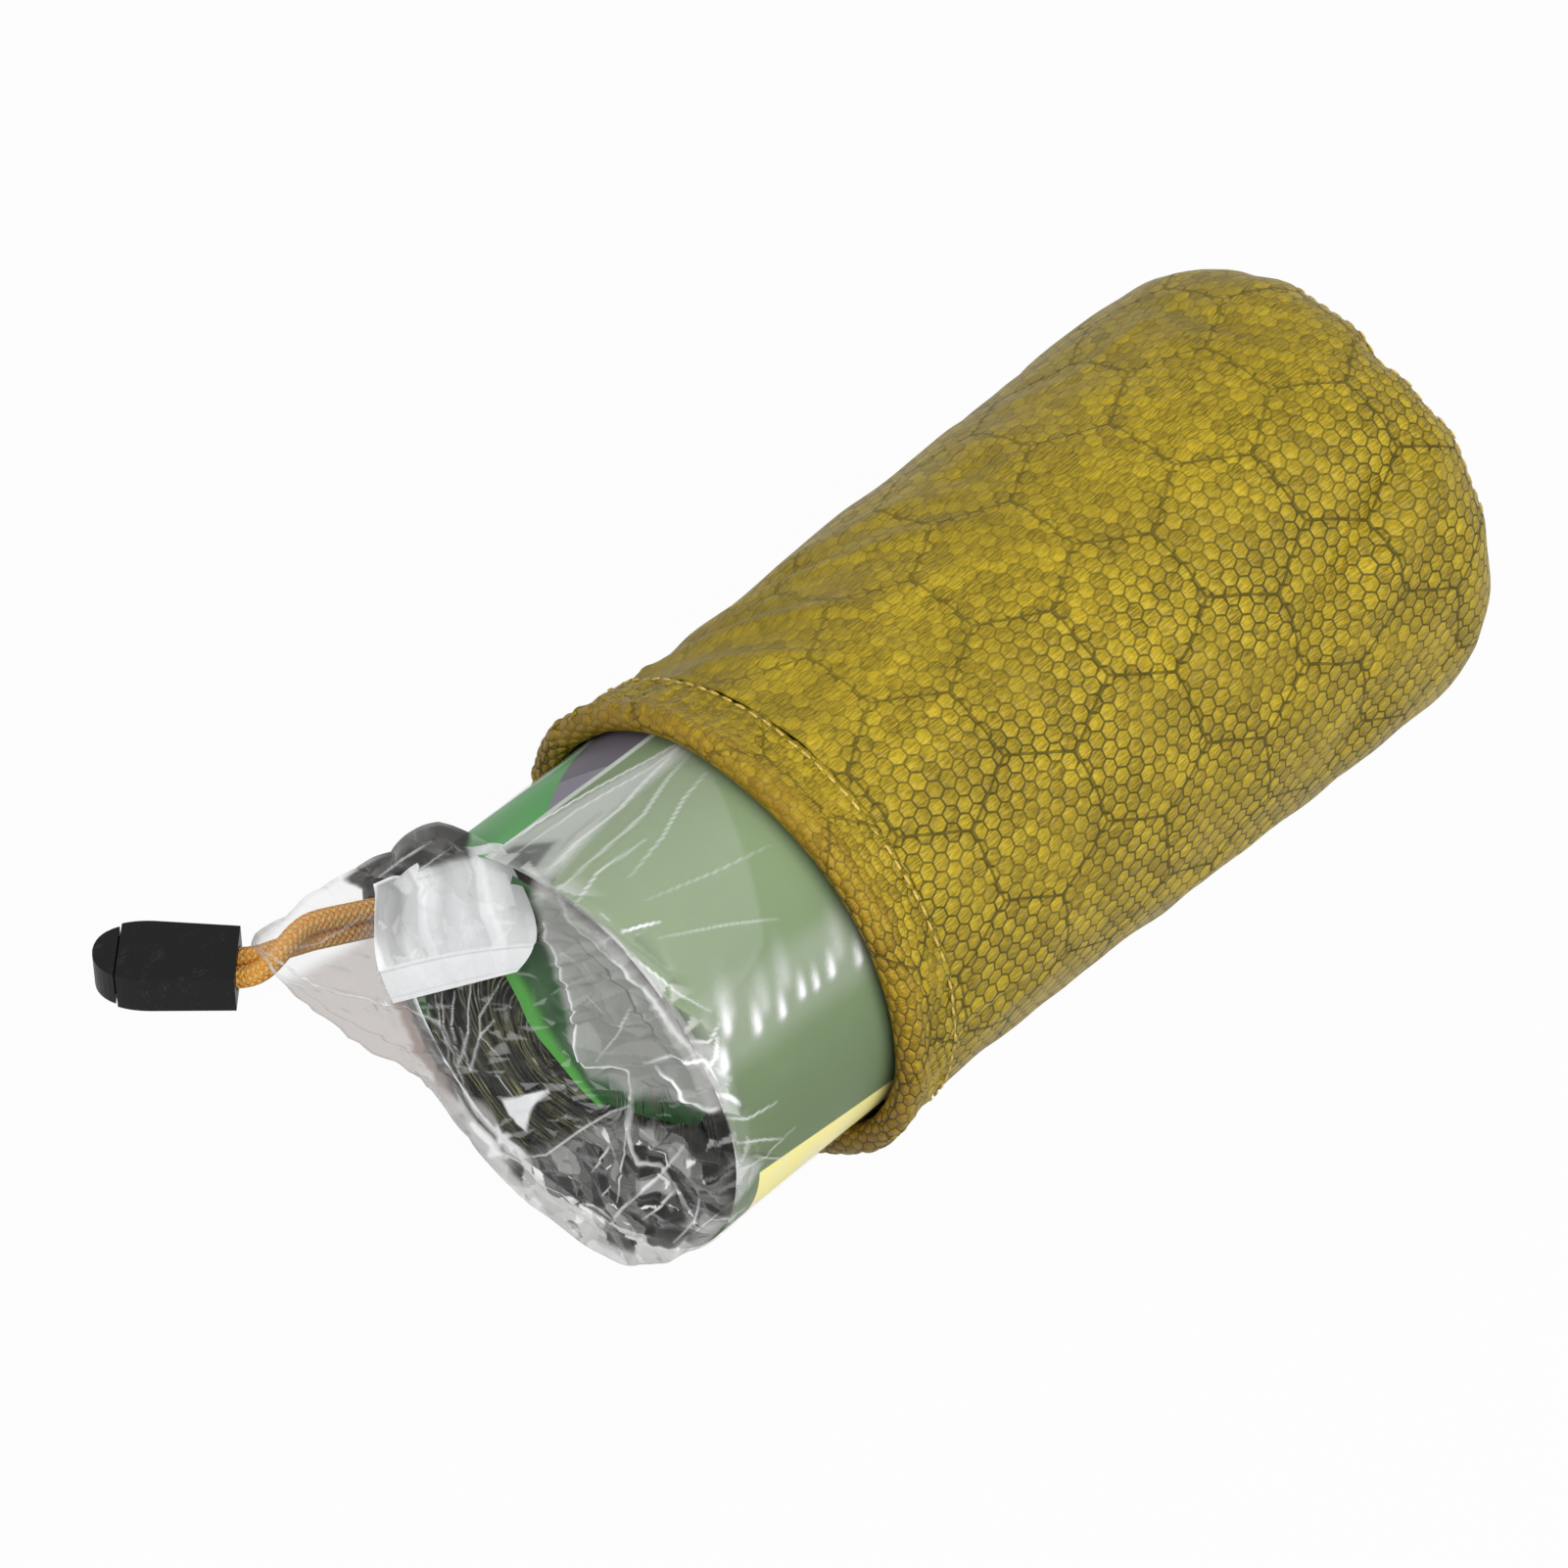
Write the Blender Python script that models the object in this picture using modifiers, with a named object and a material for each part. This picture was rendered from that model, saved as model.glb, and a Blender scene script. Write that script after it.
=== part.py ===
"""Emergency sleeping bag: a metallised film bag rolled up in its printed card and clear film,
pushed into a drawstring stuff sack of honeycomb ripstop, with a spring cord lock and a cord end.

The sack lies on its underside with its axis along X and its mouth towards -X. Z = 0 is the
surface that it lies on. The drawcord leaves the hem on the +Y side.
"""
import math

import bmesh
import bpy
from mathutils import Matrix, Vector

MM = 0.001

# Clearances
FIT = 0.3 * MM
SLIDE_FIT = 0.25 * MM

# Rolled sleeping bag: one folded strip wound round an open core
ROLL_LENGTH = 138.0 * MM
ROLL_OUT = 33.0 * MM
CORE_RADIUS = 4.4 * MM
ROLL_TURNS = 7.1
FOLD_THICKNESS = 3.2 * MM
FOLD_GAP = 0.6 * MM
FOLD_EDGE_WAVE = 0.8 * MM
ROLL_END_ANGLE = 62.0

# The soft pack is pressed flat underneath by this much where it lies on the table
PRESSED = 1.6 * MM

# Printed card and clear film round the roll
CARD_THICKNESS = 0.4 * MM
CARD_LENGTH = 118.0 * MM
CARD_SETBACK = 0.8 * MM
CARD_START_ANGLE = 32.0
CARD_END_ANGLE = 320.0
FILM_THICKNESS = 0.3 * MM
FILM_END_DOME = 4.0 * MM
FILM_SEAL_WIDTH = 52.0 * MM
FILM_SEAL_DEPTH = 7.0 * MM
FILM_SEAL_THICKNESS = 0.8 * MM

# Crumpled film front with its ear, as points (across, up from the roll's axis)
FRONT_RIM = 0.5 * MM
FRONT_THICKNESS = 1.1 * MM
FRONT_CROWN = 2.4 * MM
FRONT_PLEAT = 0.6 * MM
FRONT_PLEATS = 11
EAR_TOP = (31.0 * MM, 21.7 * MM)
EAR_SHOULDER = (43.8 * MM, 7.4 * MM)
EAR_TIP = (63.6 * MM, -19.5 * MM)
EAR_FOOT = (48.0 * MM, -32.8 * MM)
EAR_HEEL = (25.5 * MM, -32.6 * MM)
EAR_FORWARD = 2.4 * MM

# Folded film flap, corners (across, up from the roll's axis)
FLAP_CORNERS = (
    (33.5 * MM, -7.8 * MM),
    (38.5 * MM, 10.7 * MM),
    (13.5 * MM, 33.0 * MM),
    (4.5 * MM, 22.5 * MM),
)
FLAP_THICKNESS = 0.5 * MM
FLAP_LIFT = 0.9 * MM

# Stuff sack
SACK_LENGTH = 147.5 * MM
SACK_WALL = 0.8 * MM
SACK_FLARE = 2.1 * MM
SACK_CORNER = 15.0 * MM
SACK_END_BULGE = 1.4 * MM
SACK_SEAM_ANGLE = 50.0
HEM_WIDTH = 11.5 * MM
HEM_FABRIC = 0.4 * MM
HEM_EXIT_ANGLE = 54.0
HEM_EXIT_HALF = 9.5 * MM

# Drawcord
CORD_DIAMETER = 3.7 * MM
CORD_SPACING = 4.1 * MM

# Cord lock: barrel, plunger and spring, as lengths along the plunger's axis from the cord hole
LOCK_PLACE = (7.5 * MM, 59.0 * MM)
LOCK_TURN = 150.0
LOCK_RADIUS = 8.0 * MM
LOCK_FRONT = 8.5 * MM
LOCK_BACK = 8.2 * MM
LOCK_FILLET = 4.5 * MM
LOCK_BORE_RADIUS = 5.3 * MM
LOCK_END_WALL = 1.4 * MM
LOCK_GROOVE = 0.5 * MM
PLUNGER_TRAVEL = 2.5 * MM
PLUNGER_WEB = 1.0 * MM
PLUNGER_OUT = 4.5 * MM
SPRING_WIRE = 0.5 * MM
SPRING_TURNS = 2.5
SPRING_INSET = 0.6 * MM
LOCK_LIFT = 0.1 * MM

# Cord end: a flat two-part housing that hides the knot
TOGGLE_PLACE = (33.6 * MM, 73.4 * MM)
TOGGLE_TURN = 131.3
TOGGLE_LENGTH = 23.2 * MM
TOGGLE_CAP_LENGTH = 4.2 * MM
TOGGLE_WIDTH = 12.8 * MM
TOGGLE_MOUTH_WIDTH = 11.6 * MM
TOGGLE_HEIGHT = 7.4 * MM
TOGGLE_WALL = 1.1 * MM
TOGGLE_CAP_STEP = 0.25 * MM
TOGGLE_EDGE = 1.0 * MM
TOGGLE_STRAIGHT = 0.6
TOGGLE_ROUNDING = 2.3
TOGGLE_TONGUE = 3.4 * MM
KNOT_LENGTH = 6.1 * MM
MOUTH_WALL = 5.0 * MM

# Facets
AROUND = 72
CORD_POINT_SPACING = 2.1 * MM
TURN_STEPS = 34

# Derived sizes: each layer starts one clearance outside the one before it
FOLD_PITCH = FOLD_THICKNESS + FOLD_GAP
ROLL_RADIUS = CORE_RADIUS + FOLD_THICKNESS + FOLD_PITCH * ROLL_TURNS
CARD_INNER = ROLL_RADIUS + FIT
FILM_INNER = CARD_INNER + CARD_THICKNESS + FIT
FILM_OUTER = FILM_INNER + FILM_THICKNESS
CORD_RADIUS = CORD_DIAMETER / 2
BORE_RADIUS = CORD_RADIUS + SLIDE_FIT
TUNNEL_RADIUS = BORE_RADIUS + HEM_FABRIC
CORD_RING = FILM_OUTER + FIT + TUNNEL_RADIUS
HEM_OUTER = CORD_RING + TUNNEL_RADIUS
AXIS_Z = HEM_OUTER - PRESSED
MOUTH_X = -SACK_LENGTH / 2
END_X = SACK_LENGTH / 2
ROLL_FRONT_X = MOUTH_X - ROLL_OUT
ROLL_BACK_X = ROLL_FRONT_X + ROLL_LENGTH
TUNNEL_X = MOUTH_X + TUNNEL_RADIUS
HEM_BACK_X = MOUTH_X + HEM_WIDTH
SACK_END_RADIUS = AXIS_Z + SACK_FLARE
CORNER_X = END_X - SACK_END_BULGE - SACK_CORNER
CORNER_RADIUS = SACK_END_RADIUS - SACK_CORNER
HOLE_WIDTH = CORD_DIAMETER + 2 * FIT
HOLE_HEIGHT = CORD_SPACING + HOLE_WIDTH
PLUNGER_RADIUS = LOCK_BORE_RADIUS - SLIDE_FIT
TOGGLE_BODY_LENGTH = TOGGLE_LENGTH - TOGGLE_CAP_LENGTH
TOGGLE_Z = TOGGLE_HEIGHT / 2 + LOCK_LIFT
LOCK_Z = LOCK_RADIUS + LOCK_LIFT

# The two strands of the drawcord, in millimetres: out in front of the mouth, across, up
TAIL_A = (
    (-2.5, 35.9, 25.2), (-2.5, 35.3, 22.1), (-2.5, 35.6, 19), (-2.6, 36.9, 16.1),
    (-2.6, 39, 13.8), (-2.8, 40.6, 12.8), (-3.1, 42.3, 12), (-3.5, 44.1, 11.4),
    (-3.8, 46, 10.9), (-3.9, 48, 10.6), (-3.6, 49.8, 10.4), (-3, 51.6, 10.2),
    (-1.8, 53.3, 10.2), (0.1, 54.7, 10.1), (5.3, 57.7, 10.1), (10.6, 60.8, 10.1),
    (15.8, 63.8, 10.1), (21.1, 66.9, 10.1), (23.5, 67.9, 9.9), (25.8, 68.2, 9.3),
    (27.8, 68.3, 8.3), (29.7, 68.6, 7), (31.5, 69.2, 5.5), (33.3, 70.3, 4.4), (35.1, 72, 3.9),
    (37.1, 74.3, 3.8), (39.1, 76.6, 3.8), (40.9, 78.6, 3.8),
)
TAIL_B = (
    (-2.5, 24.8, 9.9), (-2.5, 27.5, 11.4), (-2.5, 30.7, 12), (-2.4, 34, 11.6),
    (-2.4, 36.9, 10.3), (-2.5, 38.7, 9.1), (-2.8, 40.8, 8.2), (-3.3, 43, 7.5),
    (-3.7, 45.2, 6.9), (-3.9, 47.4, 6.5), (-3.7, 49.5, 6.3), (-3.1, 51.4, 6.1),
    (-1.9, 53.2, 6.1), (0, 54.7, 6.1), (5.3, 57.7, 6), (10.6, 60.8, 6), (15.8, 63.8, 6),
    (21.1, 66.8, 6.1), (22.7, 67.9, 5.9), (24.3, 69, 5.5), (25.9, 70.2, 5), (27.6, 71.4, 4.6),
    (29.2, 72.4, 4.2), (30.7, 73.5, 4), (32.1, 74.8, 3.9), (34, 77, 3.8), (36, 79.3, 3.8),
    (37.8, 81.3, 3.8),
)

parts = None
cutters = None


# Scene set-up

def clear_scene():
    """Remove what the scene holds and make the two collections."""
    global parts, cutters
    for obj in list(bpy.data.objects):
        bpy.data.objects.remove(obj)
    parts = bpy.data.collections.new("emergency_sleeping_bag")
    cutters = bpy.data.collections.new("cutters")
    bpy.context.scene.collection.children.link(parts)
    bpy.context.scene.collection.children.link(cutters)


def material(name, color, roughness, metallic=0.0):
    """A Principled material with one colour."""
    mat = bpy.data.materials.new(name)
    mat.use_nodes = True
    shader = mat.node_tree.nodes["Principled BSDF"]
    shader.inputs["Base Color"].default_value = (*color, 1.0)
    shader.inputs["Roughness"].default_value = roughness
    shader.inputs["Metallic"].default_value = metallic
    return mat


def make_materials():
    """One material for each finish of the object."""
    return {
        "ripstop": material("ripstop", (0.42, 0.30, 0.035), 0.45),
        "hem": material("hem_ripstop", (0.40, 0.27, 0.03), 0.5),
        "cord": material("paracord", (0.90, 0.33, 0.06), 0.8),
        "foil": material("metallised_film", (0.13, 0.16, 0.09), 0.25, 0.8),
        "card": material("printed_card", (0.22, 0.33, 0.20), 0.4),
        "film": material("clear_film", (0.85, 0.87, 0.88), 0.15),
        "frosted": material("frosted_film", (0.92, 0.93, 0.94), 0.35),
        "black": material("black_plastic", (0.018, 0.018, 0.02), 0.45),
        "spring": material("spring_steel", (0.55, 0.55, 0.56), 0.3, 1.0),
    }


# Helpers that make meshes

def link(obj, mat=None):
    """Put an object in the parts collection with its material."""
    parts.objects.link(obj)
    if mat:
        obj.data.materials.clear()
        obj.data.materials.append(mat)
    return obj


def evaluated_mesh(obj, weld=0.00001):
    """The object's evaluated shape as a clean mesh; the object is removed."""
    bpy.context.view_layer.update()
    graph = bpy.context.evaluated_depsgraph_get()
    mesh = bpy.data.meshes.new_from_object(obj.evaluated_get(graph), depsgraph=graph)
    bpy.data.objects.remove(obj)
    work = bmesh.new()
    work.from_mesh(mesh)
    bmesh.ops.remove_doubles(work, verts=work.verts, dist=weld)
    bmesh.ops.recalc_face_normals(work, faces=work.faces)
    work.to_mesh(mesh)
    work.free()
    return mesh


def smooth(mesh):
    """Smooth shading with sharp edges past 40 degrees."""
    mesh.shade_smooth()
    mesh.set_sharp_from_angle(angle=math.radians(40))


def turned_mesh(profile, closed, steps=AROUND):
    """A profile of (along, radius) points turned about local Z by a Screw modifier."""
    mesh = bpy.data.meshes.new("profile")
    edges = [(i, i + 1) for i in range(len(profile) - 1)]
    if closed:
        edges.append((len(profile) - 1, 0))
    mesh.from_pydata([(radius, 0.0, along) for along, radius in profile], edges, [])
    obj = bpy.data.objects.new("profile", mesh)
    parts.objects.link(obj)
    screw = obj.modifiers.new("turn", "SCREW")
    screw.axis = "Z"
    screw.angle = math.tau
    screw.steps = steps
    screw.render_steps = steps
    screw.use_merge_vertices = True
    screw.merge_threshold = 0.00001
    return evaluated_mesh(obj)


def lay_along_x(mesh):
    """Turn a mesh from local Z to the sack's axis."""
    mesh.transform(Matrix.Rotation(math.radians(90), 4, "Y"))


def press(mesh, outer_radius):
    """Flatten the underside, layer by layer, where the soft pack lies on the table.

    outer_radius gives, at each x, the radius of the layer that touches the table."""
    for vert in mesh.vertices:
        x, y, z = vert.co
        pressed = outer_radius(x) - AXIS_Z
        vert.co.z = max(z, -(math.hypot(y, z) - pressed))


def pressed_by_hem(_x):
    """The roll and the hem are flattened as one by the hem under them."""
    return HEM_OUTER


def sack_radius(x):
    """Outer radius of the sack's cloth, which widens smoothly to the closed end."""
    share = (x - HEM_BACK_X) / (CORNER_X - HEM_BACK_X)
    share = min(max(share, 0.0), 1.0)
    return AXIS_Z + SACK_FLARE * share * share * (3 - 2 * share)


def pack_object(name, mesh, mat):
    """A finished piece that lies along the sack's axis."""
    smooth(mesh)
    obj = bpy.data.objects.new(name, mesh)
    obj.location = (0.0, 0.0, AXIS_Z)
    return link(obj, mat)


def add_modifier_boolean(obj, cutter, operation="DIFFERENCE"):
    """A Boolean modifier with the exact solver."""
    cut = obj.modifiers.new(cutter.name, "BOOLEAN")
    cut.operation = operation
    cut.solver = "EXACT"
    cut.object = cutter
    return cut


def as_cutter(obj):
    """Keep an object as a cutter, out of the built parts."""
    for collection in list(obj.users_collection):
        collection.objects.unlink(obj)
    cutters.objects.link(obj)
    obj.hide_render = True
    obj.display_type = "WIRE"
    return obj


def box_mesh(size, centre):
    """A box made from bmesh's cube."""
    work = bmesh.new()
    bmesh.ops.create_cube(work, size=1.0)
    bmesh.ops.scale(work, vec=Vector(size), verts=work.verts)
    bmesh.ops.translate(work, vec=Vector(centre), verts=work.verts)
    mesh = bpy.data.meshes.new("box")
    work.to_mesh(mesh)
    work.free()
    return mesh


def outline_mesh(points, half_height, edge=0.0):
    """A flat outline filled and extruded both ways, with its rims bevelled."""
    curve = bpy.data.curves.new("outline", "CURVE")
    curve.dimensions = "2D"
    curve.fill_mode = "BOTH"
    curve.extrude = half_height
    spline = curve.splines.new("POLY")
    spline.points.add(len(points) - 1)
    for point, (x, y) in zip(spline.points, points):
        point.co = (x, y, 0.0, 1.0)
    spline.use_cyclic_u = True
    obj = bpy.data.objects.new("outline", curve)
    parts.objects.link(obj)
    mesh = evaluated_mesh(obj)
    if edge:
        solid = bpy.data.objects.new("outline", mesh)
        parts.objects.link(solid)
        bevel = solid.modifiers.new("rims", "BEVEL")
        bevel.width = edge
        bevel.segments = 2
        bevel.limit_method = "ANGLE"
        bevel.angle_limit = math.radians(50)
        mesh = evaluated_mesh(solid)
    return mesh


def smooth_route(points, spacing):
    """Even points along a Catmull-Rom curve through a route."""
    ends = [2 * points[0] - points[1]] + list(points) + [2 * points[-1] - points[-2]]
    fine = []
    for i in range(1, len(ends) - 2):
        before, start, end, after = ends[i - 1:i + 3]
        for step in range(8):
            t = step / 8
            fine.append(0.5 * (2 * start + (end - before) * t
                               + (2 * before - 5 * start + 4 * end - after) * t * t
                               + (3 * start - before - 3 * end + after) * t ** 3))
    fine.append(ends[-2])
    runs = [0.0]
    for start, end in zip(fine[:-1], fine[1:]):
        runs.append(runs[-1] + (end - start).length)
    count = round(runs[-1] / spacing)
    route = []
    i = 0
    for step in range(count + 1):
        along = min(runs[-1] * step / count, runs[-1])
        while i < len(runs) - 2 and runs[i + 1] < along:
            i += 1
        share = (along - runs[i]) / (runs[i + 1] - runs[i])
        route.append(fine[i].lerp(fine[i + 1], share))
    return route


def tube_object(name, points, radius, mat, resolution=2):
    """A tube along a poly line, with filled and welded ends."""
    curve = bpy.data.curves.new(name, "CURVE")
    curve.dimensions = "3D"
    curve.bevel_depth = radius
    curve.bevel_resolution = resolution
    curve.use_fill_caps = True
    spline = curve.splines.new("POLY")
    spline.points.add(len(points) - 1)
    for point, place in zip(spline.points, points):
        point.co = (*place, 1.0)
    obj = bpy.data.objects.new(name, curve)
    parts.objects.link(obj)
    mesh = evaluated_mesh(obj)
    smooth(mesh)
    return link(bpy.data.objects.new(name, mesh), mat)


def at_mouth(out, across, up):
    """World place of a point given from the sack's mouth."""
    return Vector((MOUTH_X - out, across, up))


# The sack

def sack_body(mats):
    """Tube of cloth from the hem's seam round the closed end's corner to its panel."""
    stations = 9
    outer = []
    for i in range(stations):
        x = HEM_BACK_X + FIT + (CORNER_X - HEM_BACK_X - FIT) * i / (stations - 1)
        outer.append((x, sack_radius(x)))
    inner = [(x, radius - SACK_WALL) for x, radius in outer]
    for i in range(1, 4):
        angle = math.radians(SACK_SEAM_ANGLE * i / 3)
        outer.append(corner_point(angle, SACK_CORNER))
        inner.append(corner_point(angle, SACK_CORNER - SACK_WALL))
    mesh = turned_mesh(outer + inner[::-1], closed=True)
    lay_along_x(mesh)
    press(mesh, sack_radius)
    return pack_object("sack_body", mesh, mats["ripstop"])


def corner_point(angle, radius):
    """A point on the closed end's rounded corner."""
    return CORNER_X + radius * math.sin(angle), CORNER_RADIUS + radius * math.cos(angle)


def end_panel(mats):
    """Round panel sewn into the closed end, slightly domed by the slack cloth."""
    seam = math.radians(SACK_SEAM_ANGLE) + FIT / SACK_CORNER
    outer = []
    inner = []
    for i in range(4):
        angle = seam + (math.pi / 2 - seam) * i / 3
        outer.append(corner_point(angle, SACK_CORNER))
        inner.append(corner_point(angle, SACK_CORNER - SACK_WALL))
    for share in (0.6, 0.25, 0.0):
        bulge = SACK_END_BULGE * (1 - share * share)
        x = END_X - SACK_END_BULGE + bulge
        outer.append((x, CORNER_RADIUS * share))
        inner.append((x - SACK_WALL, CORNER_RADIUS * share))
    mesh = turned_mesh(inner[::-1] + outer, closed=False)
    lay_along_x(mesh)
    press(mesh, sack_radius)
    return pack_object("end_panel", mesh, mats["ripstop"])


def ring_point(angle):
    """A point of the drawcord's ring in the hem, flattened as the hem is."""
    y = CORD_RING * math.sin(angle)
    z = max(-CORD_RING * math.cos(angle), -(CORD_RING - PRESSED))
    return Vector((TUNNEL_X, y, z))


def mouth_hem(mats):
    """Rolled hem with the drawcord's tunnel, open where the cord comes out."""
    profile = []
    for i in range(11):
        angle = math.radians(-65 - i * 23.0)
        profile.append((TUNNEL_X + TUNNEL_RADIUS * math.cos(angle),
                        CORD_RING + TUNNEL_RADIUS * math.sin(angle)))
    profile.append((HEM_BACK_X, AXIS_Z))
    profile.append((HEM_BACK_X, AXIS_Z - SACK_WALL))
    mesh = turned_mesh(profile, closed=True)
    lay_along_x(mesh)
    press(mesh, pressed_by_hem)
    hem = pack_object("mouth_hem", mesh, mats["hem"])

    slit_size = (HEM_WIDTH * 1.6, 2 * HEM_EXIT_HALF, CORD_RING * 0.6)
    slit = bpy.data.objects.new("hem_slit", box_mesh(slit_size, (0, 0, 0)))
    exit_angle = math.radians(HEM_EXIT_ANGLE)
    slit.location = (MOUTH_X, CORD_RING * math.sin(exit_angle),
                     AXIS_Z - CORD_RING * math.cos(exit_angle))
    slit.rotation_euler = (exit_angle, 0.0, 0.0)
    as_cutter(slit)

    bore_profile = []
    for i in range(12):
        angle = math.tau * i / 12
        bore_profile.append((TUNNEL_X + BORE_RADIUS * math.cos(angle),
                             CORD_RING + BORE_RADIUS * math.sin(angle)))
    bore_mesh = turned_mesh(bore_profile, closed=True)
    lay_along_x(bore_mesh)
    press(bore_mesh, pressed_by_hem)
    bore = bpy.data.objects.new("hem_bore", bore_mesh)
    bore.location = (0.0, 0.0, AXIS_Z)
    as_cutter(bore)
    add_modifier_boolean(hem, slit)
    add_modifier_boolean(hem, bore)
    return hem


def drawcord_in_hem(mats):
    """The length of drawcord that runs in the hem's tunnel."""
    exit_angle = math.radians(HEM_EXIT_ANGLE)
    half = math.asin(HEM_EXIT_HALF / CORD_RING) + 2 * FIT / CORD_RING
    start = exit_angle + half
    sweep = math.tau - 2 * half
    steps = 60
    points = []
    for i in range(steps + 1):
        place = ring_point(start + sweep * i / steps)
        points.append(place + Vector((0.0, 0.0, AXIS_Z)))
    return tube_object("drawcord_in_hem", points, CORD_RADIUS, mats["cord"])


def drawcord_tails(mats):
    """The two free strands, from the hem's slit through the lock to the knot."""
    for name, route in (("drawcord_tail_a", TAIL_A), ("drawcord_tail_b", TAIL_B)):
        points = [at_mouth(*(value * MM for value in point)) for point in route]
        tube_object(name, smooth_route(points, CORD_POINT_SPACING), CORD_RADIUS, mats["cord"])


# The rolled bag and its wraps

def spiral_point(turn):
    """Centre line of the wound strip after so many turns, across and up from the axis."""
    radius = CORE_RADIUS + FOLD_THICKNESS / 2 + FOLD_PITCH * turn
    angle = math.radians(ROLL_END_ANGLE) - math.tau * (ROLL_TURNS - turn)
    y = radius * math.sin(angle)
    z = max(-radius * math.cos(angle), -(radius - PRESSED))
    return y, z


def least_winding_gap(points):
    """Least clear gap between neighbouring turns of the strip, measured on points."""
    least = 1.0
    for i, (y, z) in enumerate(points):
        for other in range(i + TURN_STEPS // 2, min(i + 2 * TURN_STEPS, len(points))):
            distance = math.hypot(points[other][0] - y, points[other][1] - z)
            least = min(least, distance)
    return least - FOLD_THICKNESS


def sleeping_bag_roll(mats):
    """The folded sleeping bag wound up as one spiral strip, its edge slightly uneven."""
    steps = round(ROLL_TURNS * TURN_STEPS)
    points = [spiral_point(ROLL_TURNS * i / steps) for i in range(steps + 1)]
    print(f"least gap between the roll's turns: {least_winding_gap(points) / MM:.2f} mm")
    verts = []
    faces = []
    for i, (y, z) in enumerate(points):
        wave = 0.5 - 0.5 * math.cos(i * math.tau * 1.37 / TURN_STEPS)
        verts.append((ROLL_FRONT_X + FOLD_EDGE_WAVE * wave, y, z))
        verts.append((ROLL_BACK_X, y, z))
    for i in range(steps):
        faces.append((2 * i, 2 * i + 1, 2 * i + 3, 2 * i + 2))
    mesh = bpy.data.meshes.new("strip")
    mesh.from_pydata(verts, [], faces)
    strip = bpy.data.objects.new("strip", mesh)
    parts.objects.link(strip)
    fold = strip.modifiers.new("thickness", "SOLIDIFY")
    fold.thickness = FOLD_THICKNESS
    fold.offset = 0.0
    fold.use_even_offset = True
    return pack_object("sleeping_bag_roll", evaluated_mesh(strip), mats["foil"])


def card_wrap(mats):
    """Printed card sleeve round the roll, with its edges apart underneath."""
    steps = round(AROUND * (CARD_END_ANGLE - CARD_START_ANGLE) / 360)
    front = ROLL_FRONT_X + CARD_SETBACK
    middle = CARD_INNER + CARD_THICKNESS / 2
    verts = []
    faces = []
    for i in range(steps + 1):
        angle = math.radians(CARD_START_ANGLE + (CARD_END_ANGLE - CARD_START_ANGLE) * i / steps)
        y = middle * math.sin(angle)
        z = -middle * math.cos(angle)
        verts.append((front, y, z))
        verts.append((front + CARD_LENGTH, y, z))
    for i in range(steps):
        faces.append((2 * i, 2 * i + 1, 2 * i + 3, 2 * i + 2))
    mesh = bpy.data.meshes.new("card")
    mesh.from_pydata(verts, [], faces)
    sheet = bpy.data.objects.new("card", mesh)
    parts.objects.link(sheet)
    stock = sheet.modifiers.new("thickness", "SOLIDIFY")
    stock.thickness = CARD_THICKNESS
    stock.offset = 0.0
    stock.use_even_offset = True
    return pack_object("card_wrap", evaluated_mesh(sheet), mats["card"])


def film_tube(mats):
    """The clear film round the card."""
    profile = [
        (ROLL_FRONT_X, FILM_OUTER),
        (ROLL_BACK_X, FILM_OUTER),
        (ROLL_BACK_X, FILM_INNER),
        (ROLL_FRONT_X, FILM_INNER),
    ]
    mesh = turned_mesh(profile, closed=True)
    lay_along_x(mesh)
    press(mesh, pressed_by_hem)
    return pack_object("film_tube", mesh, mats["film"])


def film_end_seal(mats):
    """The film's welded back end: a shallow dome with a flat crimped fin."""
    start = ROLL_BACK_X + FIT
    outer = [(start, FILM_OUTER)]
    inner = [(start, FILM_OUTER - 2 * FILM_THICKNESS)]
    for share in (0.8, 0.45, 0.0):
        x = start + 2 * FILM_THICKNESS + FILM_END_DOME * (1 - share * share)
        outer.append((x, FILM_OUTER * share))
        inner.append((x - 2 * FILM_THICKNESS, FILM_OUTER * share * 0.98))
    mesh = turned_mesh(inner[::-1] + outer, closed=False, steps=48)
    lay_along_x(mesh)
    press(mesh, pressed_by_hem)
    seal = pack_object("film_end_seal", mesh, mats["film"])
    fin_centre = start + FILM_END_DOME + FILM_SEAL_DEPTH / 2 - 2 * FILM_THICKNESS
    fin_size = (FILM_SEAL_DEPTH + 2 * FILM_THICKNESS, FILM_SEAL_WIDTH, FILM_SEAL_THICKNESS)
    fin = bpy.data.objects.new("seal_fin", box_mesh(fin_size, (fin_centre, 0, 0)))
    fin.location = (0.0, 0.0, AXIS_Z)
    as_cutter(fin)
    add_modifier_boolean(seal, fin, "UNION")
    return seal


def front_outline():
    """The crumpled front's outline, across and up: the roll's rim drawn out into an ear."""
    rim = FILM_OUTER + FRONT_RIM
    points = []
    ear_start = math.atan2(EAR_TOP[0], -EAR_TOP[1])
    ear_end = math.atan2(EAR_HEEL[0], -EAR_HEEL[1])
    sweep = math.tau - (ear_start - ear_end)
    steps = 38
    for i in range(steps + 1):
        angle = ear_start + sweep * i / steps
        y = rim * math.sin(angle)
        z = max(-rim * math.cos(angle), -(rim - PRESSED))
        points.append(Vector((y, z)))
    corners = [Vector(p) for p in (EAR_HEEL, EAR_FOOT, EAR_TIP, EAR_SHOULDER, EAR_TOP)]
    for start, end in zip(corners[:-1], corners[1:]):
        for i in range(4):
            point = start.lerp(end, i / 4)
            if (point - points[-1]).length > 2 * MM and (point - points[0]).length > 2 * MM:
                points.append(point)
    return points


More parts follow.
